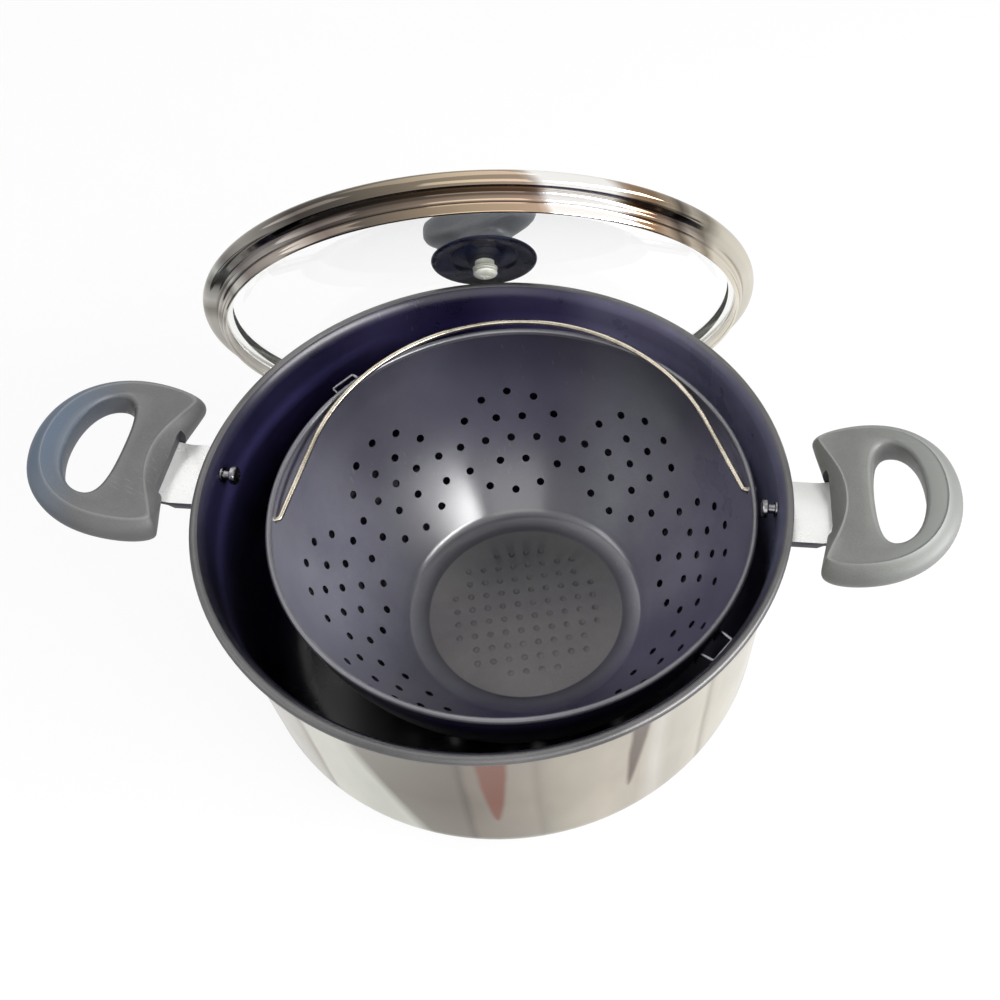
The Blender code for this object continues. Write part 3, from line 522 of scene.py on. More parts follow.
def ringSteel():
    # painted reflections on the stepped ring, in the lid's own frame: bands placed by angle, steps placed by height,
    # and a painted highlight
    material, shader, where = newMaterial("lidRingSteel", Roughness=0.1, Metallic=1.0,
                                          Specular_Tint=(0.88, 0.86, 0.83, 1))
    back = lidPlace.inverted()
    local = node("Mapping", {"Vector": where, "Location": back.to_translation(),
                             "Rotation": Vector(back.to_euler())}).outputs[0]
    look = useGroup(turnedMetal, Vector=local, Sides=3.4, Lines=1500.0)
    level = parted(local)[2]
    wander = times(minus(look["Share"], 0.5), 0.03)
    angle = plus(plus(look["Angle"], wander), times(level, 1.2))
    # painted reflections by angle: tan, brown, grey and white bands
    around = ramp(angle, [
        (0, 0.4, 0.39, 0.365), (0.03, 0.46, 0.45, 0.42), (0.046, 0.2, 0.19, 0.17), (0.058, 0.52, 0.51, 0.48),
        (0.074, 0.17, 0.165, 0.16), (0.088, 0.5, 0.51, 0.49), (0.104, 0.18, 0.165, 0.16), (0.125, 0.34, 0.32, 0.3),
        (0.163, 0.075, 0.065, 0.06), (0.19, 0.13, 0.115, 0.1), (0.25, 0.42, 0.34, 0.25), (0.272, 0.52, 0.39, 0.3),
        (0.277, 0.98, 0.97, 0.95), (0.318, 0.98, 0.96, 0.93), (0.326, 0.42, 0.28, 0.18), (0.342, 0.3, 0.2, 0.13),
        (0.354, 0.44, 0.36, 0.28), (0.364, 0.13, 0.11, 0.09), (0.372, 0.52, 0.47, 0.4), (0.382, 0.25, 0.22, 0.18),
        (0.394, 0.64, 0.6, 0.51), (0.45, 0.84, 0.81, 0.71), (0.65, 0.6, 0.58, 0.54), (0.8, 0.74, 0.72, 0.66),
        (0.93, 0.46, 0.45, 0.42), (1, 0.4, 0.39, 0.365)])
    # painted reflections by height, one for each step of the ring
    across = ramp(mapRange(level, -0.012, 0.0032), [
        (0, 1, 0.98, 0.95), (0.1, 0.92, 0.88, 0.82), (0.14, 1, 0.92, 0.84), (0.33, 1, 0.9, 0.8),
        (0.347, 0.3, 0.26, 0.26), (0.362, 0.34, 0.3, 0.3), (0.378, 0.82, 0.76, 0.74), (0.41, 0.66, 0.6, 0.59),
        (0.475, 0.5, 0.44, 0.44), (0.5, 0.13, 0.1, 0.11), (0.562, 0.11, 0.09, 0.1), (0.585, 0.46, 0.45, 0.42),
        (0.605, 0.6, 0.6, 0.57)])
    # where the steps' painted reflections fade towards white, and the white painted highlight
    plainer = larger(mapRange(angle, 0.02, 0.2, 0.75, 0.2), mapRange(angle, 0.345, 0.4, 0, 0.75))
    painted_highlight = times(mapRange(angle, 0.271, 0.279, 0, 0.75), mapRange(angle, 0.317, 0.326, 1, 0))
    across = mixColor(larger(plainer, painted_highlight), across, (1, 1, 1, 1))
    link(shader, Base_Color=mixColor(1, around, across, "MULTIPLY"))
    addBump(shader, look["Height"], 0.03, 0.02)
    return material


def gripPlastic(name, dark, light, smooth, rough, far=None, start=0.0, end=0.0):
    # moulded plastic: grain and faint marks, with a painted highlight on the crests and painted shade in the hollows
    # and on the flanks, from the piece's own painted light and shade values
    material, shader, where = newMaterial(name, Specular_IOR_Level=0.5)
    look = mottleLook(where, dark, light, smooth, rough, 30.0, 1500.0)
    color = look["Color"]
    if far:  # painted light towards the handle's far end: a painted highlight on the right handle, a bluish painted reflection on the left
        color = mixColor(mapRange(parted(where)[0], start, end, 0, 0.75), color, (*far, 1))
    painted_light_and_shade = node("Attribute", attribute_name="painted_light_and_shade").outputs["Fac"]
    # painted shade where the value is below 0
    deep = larger(times(painted_light_and_shade, -1.0), 0)
    color = mixColor(deep, color, (0.018, 0.018, 0.022, 1))
    marks = useGroup(scratches, Vector=where, Turn=0.4, Scale=40.0, Amount=0.25)["Mask"]
    # a painted highlight on the crests where the value is above 0, together with pale scratch marks
    pale = larger(larger(painted_light_and_shade, 0), marks)
    cover(shader, look, mixColor(pale, color, (0.34, 0.345, 0.34, 1)), 0.22, 0.08)
    return material


def clearGlass():
    material, shader, where = newMaterial(
        "lidGlass", Base_Color=(0.997, 1, 0.998, 1), Transmission_Weight=1.0, IOR=1.03, Specular_IOR_Level=0.4,
        Coat_Weight=0.3, Coat_Roughness=0.03, Coat_IOR=1.5)
    link(shader, Roughness=mapRange(noise(where, 30.0, 4.0), 0.4, 0.8, 0, 0.05))
    return material


coatInside, coatBowl, steelWall, steelRing, glass = insideCoat(), bowlCoat(), wallSteel(), ringSteel(), clearGlass()
# name, dark and light colour, smooth and rough, scale and grain, bump and its depth, metallic
coatRim = mottled("potRimCoat", (0.084, 0.082, 0.084), (0.138, 0.134, 0.133), 0.36, 0.48, 25.0, 2000.0, 0.05, 0.03,
                  0.7)
coatBowlRim = mottled("strainerRimCoat", (0.12, 0.12, 0.135), (0.19, 0.19, 0.205), 0.28, 0.38, 30.0, 2000.0, 0.05,
                      0.03, 0.6)
# the drain holes' walls, near black: painted shade inside the holes
punchedPaintedShade = mottled("punchedEdgePaintedShade", (0.012, 0.012, 0.016), (0.1, 0.1, 0.11), 0.2, 0.4, 300.0, 2500.0, 0.1, 0.03, 0.9)
seatSteel = mottled("ringSeat", (0.94, 0.95, 0.92), (1, 1, 0.98), 0.12, 0.2, 60.0, 1800.0, 0.02, 0.02, 0.95)
studSteel = mottled("studSteel", (0.1, 0.1, 0.115), (0.34, 0.33, 0.33), 0.16, 0.3, 180.0, 1800.0, 0.04, 0.03, 1)
# the brackets: a near-white top as painted reflection and near-black sides as painted shade
platePaintedReflection = mottled("bracketPlatePaintedReflection", (0.9, 0.9, 0.885), (1, 1, 0.985), 0.2, 0.32, 60.0, 1800.0, 0.04, 0.03, 0.3)
lipPaintedShade = mottled("bracketLipPaintedShade", (0.02, 0.018, 0.026), (0.06, 0.055, 0.07), 0.3, 0.45, 90.0, 1800.0, 0.06, 0.03, 0.6)
# the wire loops, darkened: painted shade
loopSteelPaintedShade = mottled("loopWirePaintedShade", (0.13, 0.13, 0.15), (0.28, 0.28, 0.3), 0.2, 0.35, 120.0, 1800.0, 0.04, 0.03, 1)
wireGilt = mottled("giltWire", (0.31, 0.275, 0.215), (0.58, 0.53, 0.44), 0.18, 0.32, 60.0, 1600.0, 0.06, 0.03, 1)
# the notch and slot faces, near black: painted shade in the handle's recesses
notchPaintedShade = mottled("notchPaintedShade", (0.012, 0.012, 0.016), (0.03, 0.03, 0.036), 0.4, 0.55, 60.0, 1400.0, 0.1, 0.05)
knobBasePlastic = mottled("mouldedKnobBase", (0.002, 0.003, 0.012), (0.006, 0.009, 0.028), 0.22, 0.36, 60.0, 1400.0,
                          0.1, 0.05, Specular_IOR_Level=0.15)
zincPlate = mottled("zincPlate", (0.74, 0.75, 0.67), (0.93, 0.94, 0.85), 0.28, 0.42, 260.0, 2600.0, 0.08, 0.03, 0.35)
turnedBrass = mottled("turnedBrass", (0.55, 0.38, 0.16), (0.76, 0.58, 0.3), 0.2, 0.36, 140.0, 2600.0, 0.08, 0.03, 1)
sealRubber = mottled("clearSeal", (0.42, 0.43, 0.38), (0.6, 0.61, 0.54), 0.4, 0.55, 120.0, 1500.0, 0.1, 0.05)
# the two like handles as lit and shaded copies: the left darker with painted shade, the right paler with painted
# light
leftPlasticPaintedShade = gripPlastic("mouldedLeftHandlePaintedShade", (0.062, 0.062, 0.064), (0.108, 0.108, 0.107), 0.4, 0.55,
                          (0.06, 0.11, 0.185), -0.162, -0.188)
rightPlasticPaintedLight = gripPlastic("mouldedRightHandlePaintedLight", (0.112, 0.116, 0.108), (0.172, 0.176, 0.164), 0.4, 0.55,
                           (0.245, 0.255, 0.24), 0.15, 0.182)
knobPlastic = gripPlastic("mouldedKnob", (0.068, 0.074, 0.081), (0.125, 0.134, 0.138), 0.34, 0.46)
print("finishes are ready")


# pot body: drawn shell, dark inside, polished outside, rolled rim
pot = dict(height=111.6, wallRadius=120.4, wall=1.6, floor=4.0, corner=20.0, rimRadius=124.98, bead=2.0,
           rimInner=121.5, flare=5.0, steps=160, grooves=(34, 52, 70, 88), rimBelt=3.9, rimReach=121.2)


def makePot():
    wall, height, floor, bead, corner = (pot[key] for key in ("wallRadius", "height", "floor", "bead", "corner"))
    inner, innerCorner = wall - pot["wall"], corner - pot["wall"]
    flareLow = height - pot["flare"]
    profile = [
        (0, floor + 0.3), (60, floor + 0.2),
        *arcPoints((inner - innerCorner, floor + innerCorner), innerCorner, -90, 0, 14),
        (inner, 60), (inner, flareLow - 1.0), (inner + 0.5, height - 4.2),
        (pot["rimInner"] - 0.7, height - 1.5), (pot["rimInner"] + 0.1, height - 0.75),
        *arcPoints((pot["rimRadius"] - bead, height - bead), bead, 112, -95, 16),
        (wall + 0.35, flareLow + 0.6), (wall, flareLow - 1.2), (wall, 60),
        *arcPoints((wall - corner, corner), corner, 0, -90, 16)]
    for radius in reversed(pot["grooves"]):  # shallow rings under the base
        profile += [(radius + 1.2, 0), (radius + 0.5, 0.35), (radius - 0.5, 0.35), (radius - 1.2, 0)]
    piece = spun("potShell", profile + [(0, 0)], pot["steps"])

    def part(face, level, reach):
        if level > height - pot["rimBelt"] and reach > pot["rimReach"]:
            return 2
        outward = Vector((*face.center.xy, 0)).normalized()
        return 1 if face.normal.dot(outward) < -0.1 or (face.normal.z > 0.3 and level > 1) else 0

    paint(piece, (steelWall, coatInside, coatRim), part)
    shadeSmooth(piece, 40)
    finishPiece(piece, "pot", "pot_body")


makePot()
print("pot body is done")


# two studs inside the rim, turned about the X axis
stud = dict(drop=8.2, face=118.5, collarRadius=3.4, collar=0.9, shank=2.0, headEnd=112.0, head=2.6, headRadius=4.0,
            steps=40)


def makeStud(name, turn, nodeName):
    face, end, collar, shank, head = (stud[key] for key in ("face", "headEnd", "collarRadius", "shank", "headRadius"))
    collarEnd, neck = face - stud["collar"], end + stud["head"]
    profile = [
        (0, face), (collar, face), (collar, face - 0.7), (collar - 0.5, collarEnd), (shank + 0.1, collarEnd - 0.1),
        (shank, face - 1.8), (shank, neck + 0.5), (shank + 0.4, neck), (head - 0.4, neck), (head, neck - 0.4),
        (head, end + 0.9), (head - 0.3, end + 0.4), (head - 0.9, end + 0.1), (0, end)]
    piece = spun(name, profile, stud["steps"])
    place = Matrix.Translation((0, 0, (pot["height"] - stud["drop"]) * mm)) @ turned("Z", turn)
    place = place @ turned("Y", 90)
    finishPiece(piece, "pot", nodeName, studSteel, place, 30)


makeStud("rightStud", 0, "right_peg")
makeStud("leftStud", 180, "left_peg")


# brackets: the pressed channels, merged and with softened edges
bracket = dict(merge=0.005, flatWithin=1.5, softEdge=0.35, lipNormal=0.75)


def makeBracket(name, nodeName):
    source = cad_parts[nodeName]
    piece = source.copy()
    piece.data = source.data.copy()
    piece.parent = None
    for key in list(piece.keys()):
        del piece[key]
    piece.name = piece.data.name = name
    bpy.context.collection.objects.link(piece)
    pick(piece)
    bpy.ops.object.mode_set(mode="EDIT")
    bpy.ops.mesh.select_all(action="SELECT")
    bpy.ops.mesh.remove_doubles(threshold=bracket["merge"] * mm)
    bpy.ops.mesh.dissolve_limited(angle_limit=math.radians(bracket["flatWithin"]))
    leaveEdit()
    softenEdges(piece, bracket["softEdge"], 2, 40)
    shadeSmooth(piece, 30)
    piece.data.materials.clear()
    # the side faces get painted shade, the rest the white painted reflection
    paint(piece, (platePaintedReflection, lipPaintedShade), lambda face, level, reach: int(abs(face.normal.y) > bracket["lipNormal"]))
    finishPiece(piece, "pot", nodeName)


makeBracket("rightBracket", "right_handle_bracket")
makeBracket("leftBracket", "left_handle_bracket")
print("studs and brackets are done")


# side handles: lofted loops with a flat top, a crest line and a scooped root
handle = dict(root=135.0, rise=106.0, tilt=16.5, depth=58.4, halfWidth=40.5, widest=20.4, rootHalf=33.5, hollow=4.8,
              fullness=0.59, rootThick=16.2, tipThick=11.0, fingerNear=23.8, fingerDeep=20.4, fingerHalf=25.3,
              perHalf=72, crest=5.2, scoop=8.2, holeCrest=2.0, lowScoop=1.6, tongueBend=137.5, tongueDrop=3.1,
              notch=((-14, -16.3, -9.5), (6.2, 16.3, 4.4)), screwAt=10,
              # heights from the tongue's top: slot's corners; radius, depth and middle of the two round cuts
              slot=((-14, -16.3, -2.3), (16.8, 16.3, 0.3)), sinkCutter=(3.8, 20, -11), insertCutter=(3.3, 7.2, 3.3),
              rows=(
                  # (share of the way, height share, painted light and shade, above 0 a painted highlight and below 0
                  # painted shade): finger wall to its crest, to the edge, to the silhouette
                  ((0.0, 0.62, -0.5), (0.16, 0.8, -0.35), (0.5, 0.93, 0.0), (0.85, 0.99, 0.16), (1.0, 1.0, 0.1)),
                  ((0.3, 1.015, 0.0), (0.7, 1.01, 0.0), (0.92, 0.995, 0.03), (0.97, 1.03, 0.24), (1.0, 1.035, 0.3)),
                  ((0.07, 0.985, 0.12), (0.16, 0.91, 0.0), (0.35, 0.8, -0.07), (0.58, 0.65, -0.14),
                   (0.78, 0.47, -0.21), (0.93, 0.27, -0.28))))


def loopPoints(knots):
    # knots run from the root's middle round by +Y; each is (place, handle before, handle after)
    perSegment = 2 * handle["perHalf"] // len(knots)
    points = []
    for (place, _, out), (nextPlace, into, _) in zip(knots, knots[1:] + knots[:1]):
        a, b = Vector(place), Vector(nextPlace)
        c, d = a + Vector(out), b + Vector(into)
        for i in range(perSegment):
            t = i / perSegment
            s = 1 - t
            points.append(a * s ** 3 + c * 3 * s * s * t + d * 3 * s * t * t + b * t ** 3)
    return points


def closed(knots):  # the knots between the first and the last come again on the other side
    return knots + [((x, -y), (c, -d), (a, -b)) for (x, y), (a, b), (c, d) in reversed(knots[1:-1])]


def outerKnots(inset, scoop):
    # the outline, or a loop that stands in from it
    lead, wide = handle["fullness"], handle["halfWidth"] - inset
    tip, widest = handle["depth"] - inset, handle["widest"]
    root, rootHalf = 0.62 * inset, handle["rootHalf"] - 0.55 * inset
    middle = handle["hollow"] + scoop
    return closed([
        ((middle, 0), (0, -0.45 * rootHalf), (0, 0.45 * rootHalf)),
        ((root, rootHalf), (0.35 * (middle - root), -0.3 * rootHalf), (0.06 * inset, 3.0)),
        ((widest, wide), (-0.6 * (widest - root), 0), (lead * (tip - widest), 0)),
        ((tip, 0), (0, lead * wide), (0, -lead * wide))])


def fingerKnots(grow):
    near, far = handle["fingerNear"] - grow, handle["fingerNear"] + handle["fingerDeep"] + grow
    half, deep = handle["fingerHalf"] + grow, far - near
    return closed([
        ((near, 0), (0, -0.62 * half), (0, 0.62 * half)),
        ((near + 0.36 * deep, half), (-0.3 * deep, 0), (0.35 * deep, 0)),
        ((far, 0), (0, 0.6 * half), (0, -0.6 * half))])


def cutHandle(piece):
    # notch for the bracket, slot for its tongue, and the screw's sink from below
    lean = math.radians(handle["tilt"])
    top = (handle["root"] - handle["tongueBend"]) * math.sin(lean) - handle["tongueDrop"] * math.cos(lean)
    for corners, base in ((handle["notch"], 0), (handle["slot"], top)):
        low, high = ((x, y, z + base) for x, y, z in corners)
        middle = [(a + b) / 2 * mm for a, b in zip(low, high)]
        cutBox(piece, [b - a for a, b in zip(low, high)], notchPaintedShade, location=middle)
    for name in ("sinkCutter", "insertCutter"):
        radius, depth, rise = handle[name]
        cutRound(piece, name, radius, depth, (handle["screwAt"], 0, top + rise))


def makeHandle(name, turn, nodeName, plastic):
    silhouette = loopPoints(outerKnots(0, 0))
    crest, lowCrest = (loopPoints(outerKnots(handle["crest"], handle[key])) for key in ("scoop", "lowScoop"))
    fingerWall, fingerCrest = loopPoints(fingerKnots(0)), loopPoints(fingerKnots(handle["holeCrest"]))

    def halfRows(edge, side):
        spans = ((fingerWall, fingerCrest), (fingerCrest, edge), (edge, silhouette))
        return [([a.lerp(b, share) for a, b in zip(*span)], side * height, painted_light_level)
                for span, steps in zip(spans, handle["rows"]) for share, height, painted_light_level in steps]

    # the finger wall's middle and the silhouette get painted shade too
    rows = [(fingerWall, 0.0, -0.6)] + halfRows(crest, 1) + [(silhouette, 0.0, -0.34)]
    rows += list(reversed(halfRows(lowCrest, -1)))
    shape = bmesh.new()
    painted_light_and_shade = shape.verts.layers.float.new("painted_light_and_shade")
    rings = []
    for row, share, painted_light_level in rows:
        ring = []
        for point in row:
            along = min(max(point.x / handle["depth"], 0), 1)
            thick = handle["rootThick"] + (handle["tipThick"] - handle["rootThick"]) * along
            vertex = shape.verts.new((point.x * mm, point.y * mm, share * thick / 2 * mm))
            vertex[painted_light_and_shade] = painted_light_level
            ring.append(vertex)
        rings.append(ring)
    skin(shape, rings + rings[:1])
    bmesh.ops.recalc_face_normals(shape, faces=shape.faces)
    piece = meshPiece(name, shape)
    piece.data.materials.append(plastic)
    cutHandle(piece)
    place = turned("Z", turn) @ Matrix.Translation((handle["root"] * mm, 0, handle["rise"] * mm))
    finishPiece(piece, "pot", nodeName, None, place @ turned("Y", -handle["tilt"]), 24)


makeHandle("rightHandle", 0, "right_handle", rightPlasticPaintedLight)
makeHandle("leftHandle", 180, "left_handle", leftPlasticPaintedShade)
for side in ("left", "right"):
    dress(side + "_handle_screw", zincPlate)
    dress(side + "_handle_insert", turnedBrass)
print("handles are done")


# strainer bowl: pressed shell, 152 drain holes, 80 dimples in the base
bowl = dict(center=(6.8, 0.7), turn=9.0, radius=104.7, top=99.8, sheet=1.2, bead=1.3, baseRadius=48.6,
            heelRadius=55.8, heelRise=2.5, floor=5.5, steps=160, levels=24, crowding=1.15, eyeRadius=1.55,
            eyeDepth=12, eyeReach=102, eyeHeight=93.8)
holes = dict(rosettes=8, rings=3, height=35.9, pitch=13.5, turn=1.7, radius=2.05, depth=7.0, sides=14)
dimples = dict(pitch=7.68, rows=(4, 8, 8, 10, 10, 10, 10, 8, 8, 4), turn=4.0, radius=1.7, depth=0.6)
bowlPlace = Matrix.Translation((bowl["center"][0] * mm, bowl["center"][1] * mm, 0))
bowlPlace = bowlPlace @ turned("Z", bowl["turn"])
mouth = bowl["radius"] - 2 * bowl["bead"] + 0.2
mouthTop = bowl["top"] - 0.4


def bowlRadius(z):
    share = (mouthTop - z) / (mouthTop - bowl["floor"])
    return mouth - (mouth - bowl["heelRadius"]) * share * share


def bowlNormal(z):
    slope = 2 * (mouth - bowl["heelRadius"]) * (mouthTop - z) / (mouthTop - bowl["floor"]) ** 2
    return Vector((1, -slope)).normalized()


def bowlOutside(z, out):
    normal = bowlNormal(z)
    return bowlRadius(z) + out * normal.x, z + out * normal.y


def drillHoles(piece):  # rosettes of 1, 6 and 12 holes
    bit = drill("drainBit", holes["radius"], holes["depth"], holes["sides"])
    bit.data.materials.append(punchedPaintedShade)
    level = bowl["floor"] + holes["height"]
    upright = bowlNormal(level).x
    places = []
    for index in range(holes["rosettes"]):
        turn = math.radians(holes["turn"]) + 2 * math.pi * index / holes["rosettes"]
        for ring in range(holes["rings"]):
            count, reach = max(1, 6 * ring), ring * holes["pitch"]
            for step in range(count):
                angle = 2 * math.pi * step / count
                z = level + reach * math.sin(angle) * upright
                radius, out = bowlRadius(z), bowlNormal(z)
                azimuth = turn + reach * math.cos(angle) / radius
                c, s = math.cos(azimuth), math.sin(azimuth)
                axis = Vector((out.x * c, out.x * s, out.y))
                spot = Vector((radius * c, radius * s, z)) * mm
                places.append(Matrix.Translation(spot) @ axis.to_track_quat("Z", "Y").to_matrix().to_4x4())
    carve(piece, copied(bit, places))


def pressDimples(piece):  # into the base, from above
    depth, pitch, rows = dimples["depth"], dimples["pitch"], dimples["rows"]
    bulge = (dimples["radius"] ** 2 + depth ** 2) / (2 * depth)
    leaveEdit()
    bpy.ops.mesh.primitive_uv_sphere_add(segments=14, ring_count=20, radius=bulge * mm)
    punch = bpy.context.object
    punch.data.materials.append(coatBowl)
    bpy.ops.object.mode_set(mode="EDIT")
    bpy.ops.mesh.select_all(action="SELECT")
    bpy.ops.mesh.bisect(plane_co=(0, 0, (1.6 * depth - bulge) * mm), plane_no=(0, 0, 1), use_fill=True,
                        clear_outer=True)
    leaveEdit()
    pattern = turned("Z", dimples["turn"])
    places = []
    for row, count in enumerate(rows):
        for column in range(count):
            x, y = (column - (count - 1) / 2) * pitch, (row - (len(rows) - 1) / 2) * pitch
            places.append(pattern @ Matrix.Translation(Vector((x, y, bowl["floor"] + bulge - depth)) * mm))
    carve(piece, copied(punch, places))


def makeBowl():
    floor, base, bead, sheet = bowl["floor"], bowl["baseRadius"], bowl["bead"], bowl["sheet"]
    start, end, last = floor + bowl["heelRise"], bowl["top"] - 2 * bead, bowl["levels"] - 1
    heights = [start + (end - start) * (i / last) ** bowl["crowding"] for i in range(bowl["levels"])]
    profile = [
        (0, floor), (base * 0.55, floor), (base - 0.35, floor), (base + 0.15, floor + 0.22),
        (base + 1.2, floor + 0.36), (base + 3.2, floor + 0.66), (base + 5.4, floor + 1.12),
        (base + 7.3, floor + 1.66), (base + 8.7, floor + 2.1), *((bowlRadius(z), z) for z in heights),
        *arcPoints((bowl["radius"] - bead, bowl["top"] - bead), bead, 165, -60, 14),
        *(bowlOutside(z, sheet) for z in reversed(heights)), (base + 1.0, floor - sheet), (0, floor - sheet)]
    piece = spun("strainerShell", profile, bowl["steps"])
    paint(piece, (coatBowl, coatBowlRim, punchedPaintedShade),
          lambda face, level, reach: int(level > bowl["top"] - 2.5 * bead and reach > mouth - 0.3))
    drillHoles(piece)
    pressDimples(piece)
    for side in (-1, 1):  # holes for the bail's ends
        eye = drill("bailEye", bowl["eyeRadius"], bowl["eyeDepth"], 20)
        spot = Vector((side * bowl["eyeReach"], 0, bowl["eyeHeight"])) * mm
        eye.matrix_world = Matrix.Translation(spot) @ turned("Y", 90)
        carve(piece, eye)
    finishPiece(piece, "strainer", "strainer_bowl", None, bowlPlace, 28)


makeBowl()
print("strainer is done")


# wire loops under the strainer's rim
loop = dict(wire=0.8, halfWidth=6.6, reach=7.8, drop=5.2, foot=9.0, gap=0.3, bend=1.4, endShare=0.75)


def makeLoop(name, turn, nodeName):
    level, across, wire = bowl["top"] - loop["drop"], loop["halfWidth"], loop["wire"]
    foot = []
    for z in (level - loop["foot"], level - 0.5 * loop["foot"], level):
        radius, height = bowlOutside(z, bowl["sheet"] + loop["gap"] + wire)
        foot.append((math.sqrt(radius ** 2 - across ** 2), across, height))
    foot[-1] = (foot[-1][0] + 0.15, across, level)
    outer = bowl["radius"] + loop["reach"] - wire
    corners = foot + [(outer, across, level), (outer, -across, level)] + [(x, -y, z) for x, y, z in reversed(foot)]
    path = roundedPath(corners, loop["bend"])
    swell = [loop["endShare"]] + [1] * (len(path) - 2) + [loop["endShare"]]
    piece = wirePiece(name, path, wire, swell)
    finishPiece(piece, "strainer", nodeName, loopSteelPaintedShade, bowlPlace @ turned("Z", turn))


makeLoop("rearLoop", 135.0, "rear_loop")
makeLoop("frontLoop", 315.0, "front_loop")


# bail: drawn flat in its own plane, then laid back to its rest angle
bail = dict(wire=1.25, inset=0.75, arcRadius=93.0, arcRise=12.0, arcSteps=97, bend=1.6, rest=5.3, headRadius=2.0,
            head=2.4, headRows=((1.0, 0.55), (0.85, 0.9), (0.5, 1.0), (0.15, 0.92), (0.0, 0.8)))


def makeBail():
    pivot, rise = bowl["eyeHeight"], bail["arcRise"]
    wall = bowlOutside(pivot, bowl["sheet"])[0] + 0.3
    foot = bowlRadius(pivot) - bail["wire"] - bail["inset"]
    start = math.degrees(math.acos(bail["arcRadius"] / math.hypot(foot, rise))) - math.degrees(math.atan2(rise, foot))
    sweep = arcPoints((0, rise), bail["arcRadius"], start, 180 - start, bail["arcSteps"])
    grown = bail["headRadius"] / bail["wire"]
    half = [((wall + share * bail["head"], 0, 0), size * grown) for share, size in bail["headRows"]]
    half += [((wall - 0.05, 0, 0), 1.0)]
    bend = roundedPath([(wall, 0, 0), (foot, 0, 0), (*sweep[0], 0)], bail["bend"], 6)[1:-1]
    half += [(tuple(point), 1.0) for point in bend]
    path = half + [((x, y, 0), 1.0) for x, y in sweep] + [((-x, y, z), size) for (x, y, z), size in reversed(half)]
    piece = wirePiece("bailWire", [point for point, _ in path], bail["wire"], [size for _, size in path])
    lift = Matrix.Translation((0, 0, pivot * mm))
    finishPiece(piece, "bail", "bail", wireGilt, bowlPlace @ lift @ turned("X", bail["rest"]))


makeBail()
print("loops and bail are done")


# lid: domed glass in a stepped steel ring
lid = dict(glassThick=4.0, glassRadius=121.2, bore=5.2, domeRadius=108.5, domeDepth=25.8, domeSteps=20,
           glassSteps=128, ringSteps=192, slot=2.3, lip=3.1)
sphereRadius = (lid["domeRadius"] ** 2 + lid["domeDepth"] ** 2) / (2 * lid["domeDepth"])


def domeHeight(radius, out=0.0):
    return math.sqrt((sphereRadius + out) ** 2 - radius ** 2) - sphereRadius + lid["domeDepth"]


def makeGlass():
    low, high, bore, rim = -lid["glassThick"] / 2, lid["glassThick"] / 2, lid["bore"], lid["glassRadius"]
    dome, steps = lid["domeRadius"], lid["domeSteps"]
    inner, outer = ([bore + (end - bore) * i / steps for i in range(steps + 1)] for end in (dome - 4.2, dome))
    profile = [
        *((r, domeHeight(r)) for r in inner), (106.6, 1.2), (108.8, -0.9), (110.6, low + 0.15), (112.4, low),
        (rim, low), (rim, high), (113.4, high), (111.4, high + 0.4), (109.9, high + 1.3),
        *((r, domeHeight(r, lid["glassThick"])) for r in reversed(outer[:-1]))]
    piece = spun("lidGlass", profile + profile[:1], lid["glassSteps"])
    finishPiece(piece, "lid", "lid_glass", glass, lidPlace, 30)


def makeRing():
    slot, lip = lid["slot"], lid["lip"]
    profile = [
        (113.0, lip - 0.2), (113.5, lip), (121.8, lip), (123.0, 2.9), (124.0, 2.3), (124.65, 1.3), (124.93, 0.1),
        (124.8, -1.1), (124.35, -2.1), (123.5, -2.8), (122.4, -3.15), (120.3, -3.25), (119.6, -3.5), (119.25, -4.0),
        (119.1, -5.2), (118.9, -6.0), (118.4, -6.5), (117.8, -6.7), (117.45, -7.2), (117.35, -8.2), (117.2, -9.3),
        (116.9, -9.8), (116.4, -10.0), (115.9, -9.75), (115.6, -9.2), (115.6, -4.2), (115.3, -3.6), (113.5, -lip),
        (113.0, -lip + 0.2), (113.0, -slot), (121.5, -slot), (121.5, slot), (113.0, slot)]
    piece = spun("lidRing", profile + profile[:1], lid["ringSteps"])
    # the seat is the slot's faces and the inner edge
    paint(piece, (steelRing, seatSteel), lambda face, level, reach: int(
        (reach < 115.5 and abs(level) < 4) or (reach < 121.6 and abs(level) < 2.4)))
    finishPiece(piece, "lid", "lid_ring", None, lidPlace, 34)


makeGlass()
makeRing()
print("lid is done")


# knob and its fastening, stacked on the lid's axis
knob = dict(baseRadius=25.3, baseHeight=4.4, baseBore=3.0, edge=1.8, neckWide=10.2, long=32.0, wide=12.0,
            height=25.65, turn=-28.0, around=64, square=0.8, rightLobe=0.9, stackRadius=5.9, gap=0.3, gasket=0.7,
            washer=0.8, screwRadius=2.4, headRadius=5.7, head=2.1, screwLength=21.0, pitch=0.9, fuller=2.3,
            recess=(5.2, 1.0, 2.4), recessTurn=20, pocketRadius=4.5, pocketDepth=14.6, pocketRise=4.0, levels=(
                # (height share, length share, width share)
                (0.0, 0.51, 0.85), (0.02, 0.515, 0.86), (0.08, 0.48, 0.8), (0.15, 0.462, 0.765),
                (0.22, 0.475, 0.775), (0.28, 0.53, 0.82), (0.325, 0.62, 0.865), (0.37, 0.745, 0.91),
                (0.42, 0.87, 0.945), (0.49, 0.955, 0.975), (0.58, 0.995, 0.995), (0.68, 1.0, 1.0), (0.8, 0.998, 0.98),
                (0.89, 0.98, 0.92), (0.95, 0.93, 0.81), (0.985, 0.85, 0.66), (1.0, 0.74, 0.5)))
gasketLow = domeHeight(knob["stackRadius"]) - knob["gap"] - knob["gasket"]
headTop = gasketLow - knob["gap"] - knob["washer"] - knob["gap"]
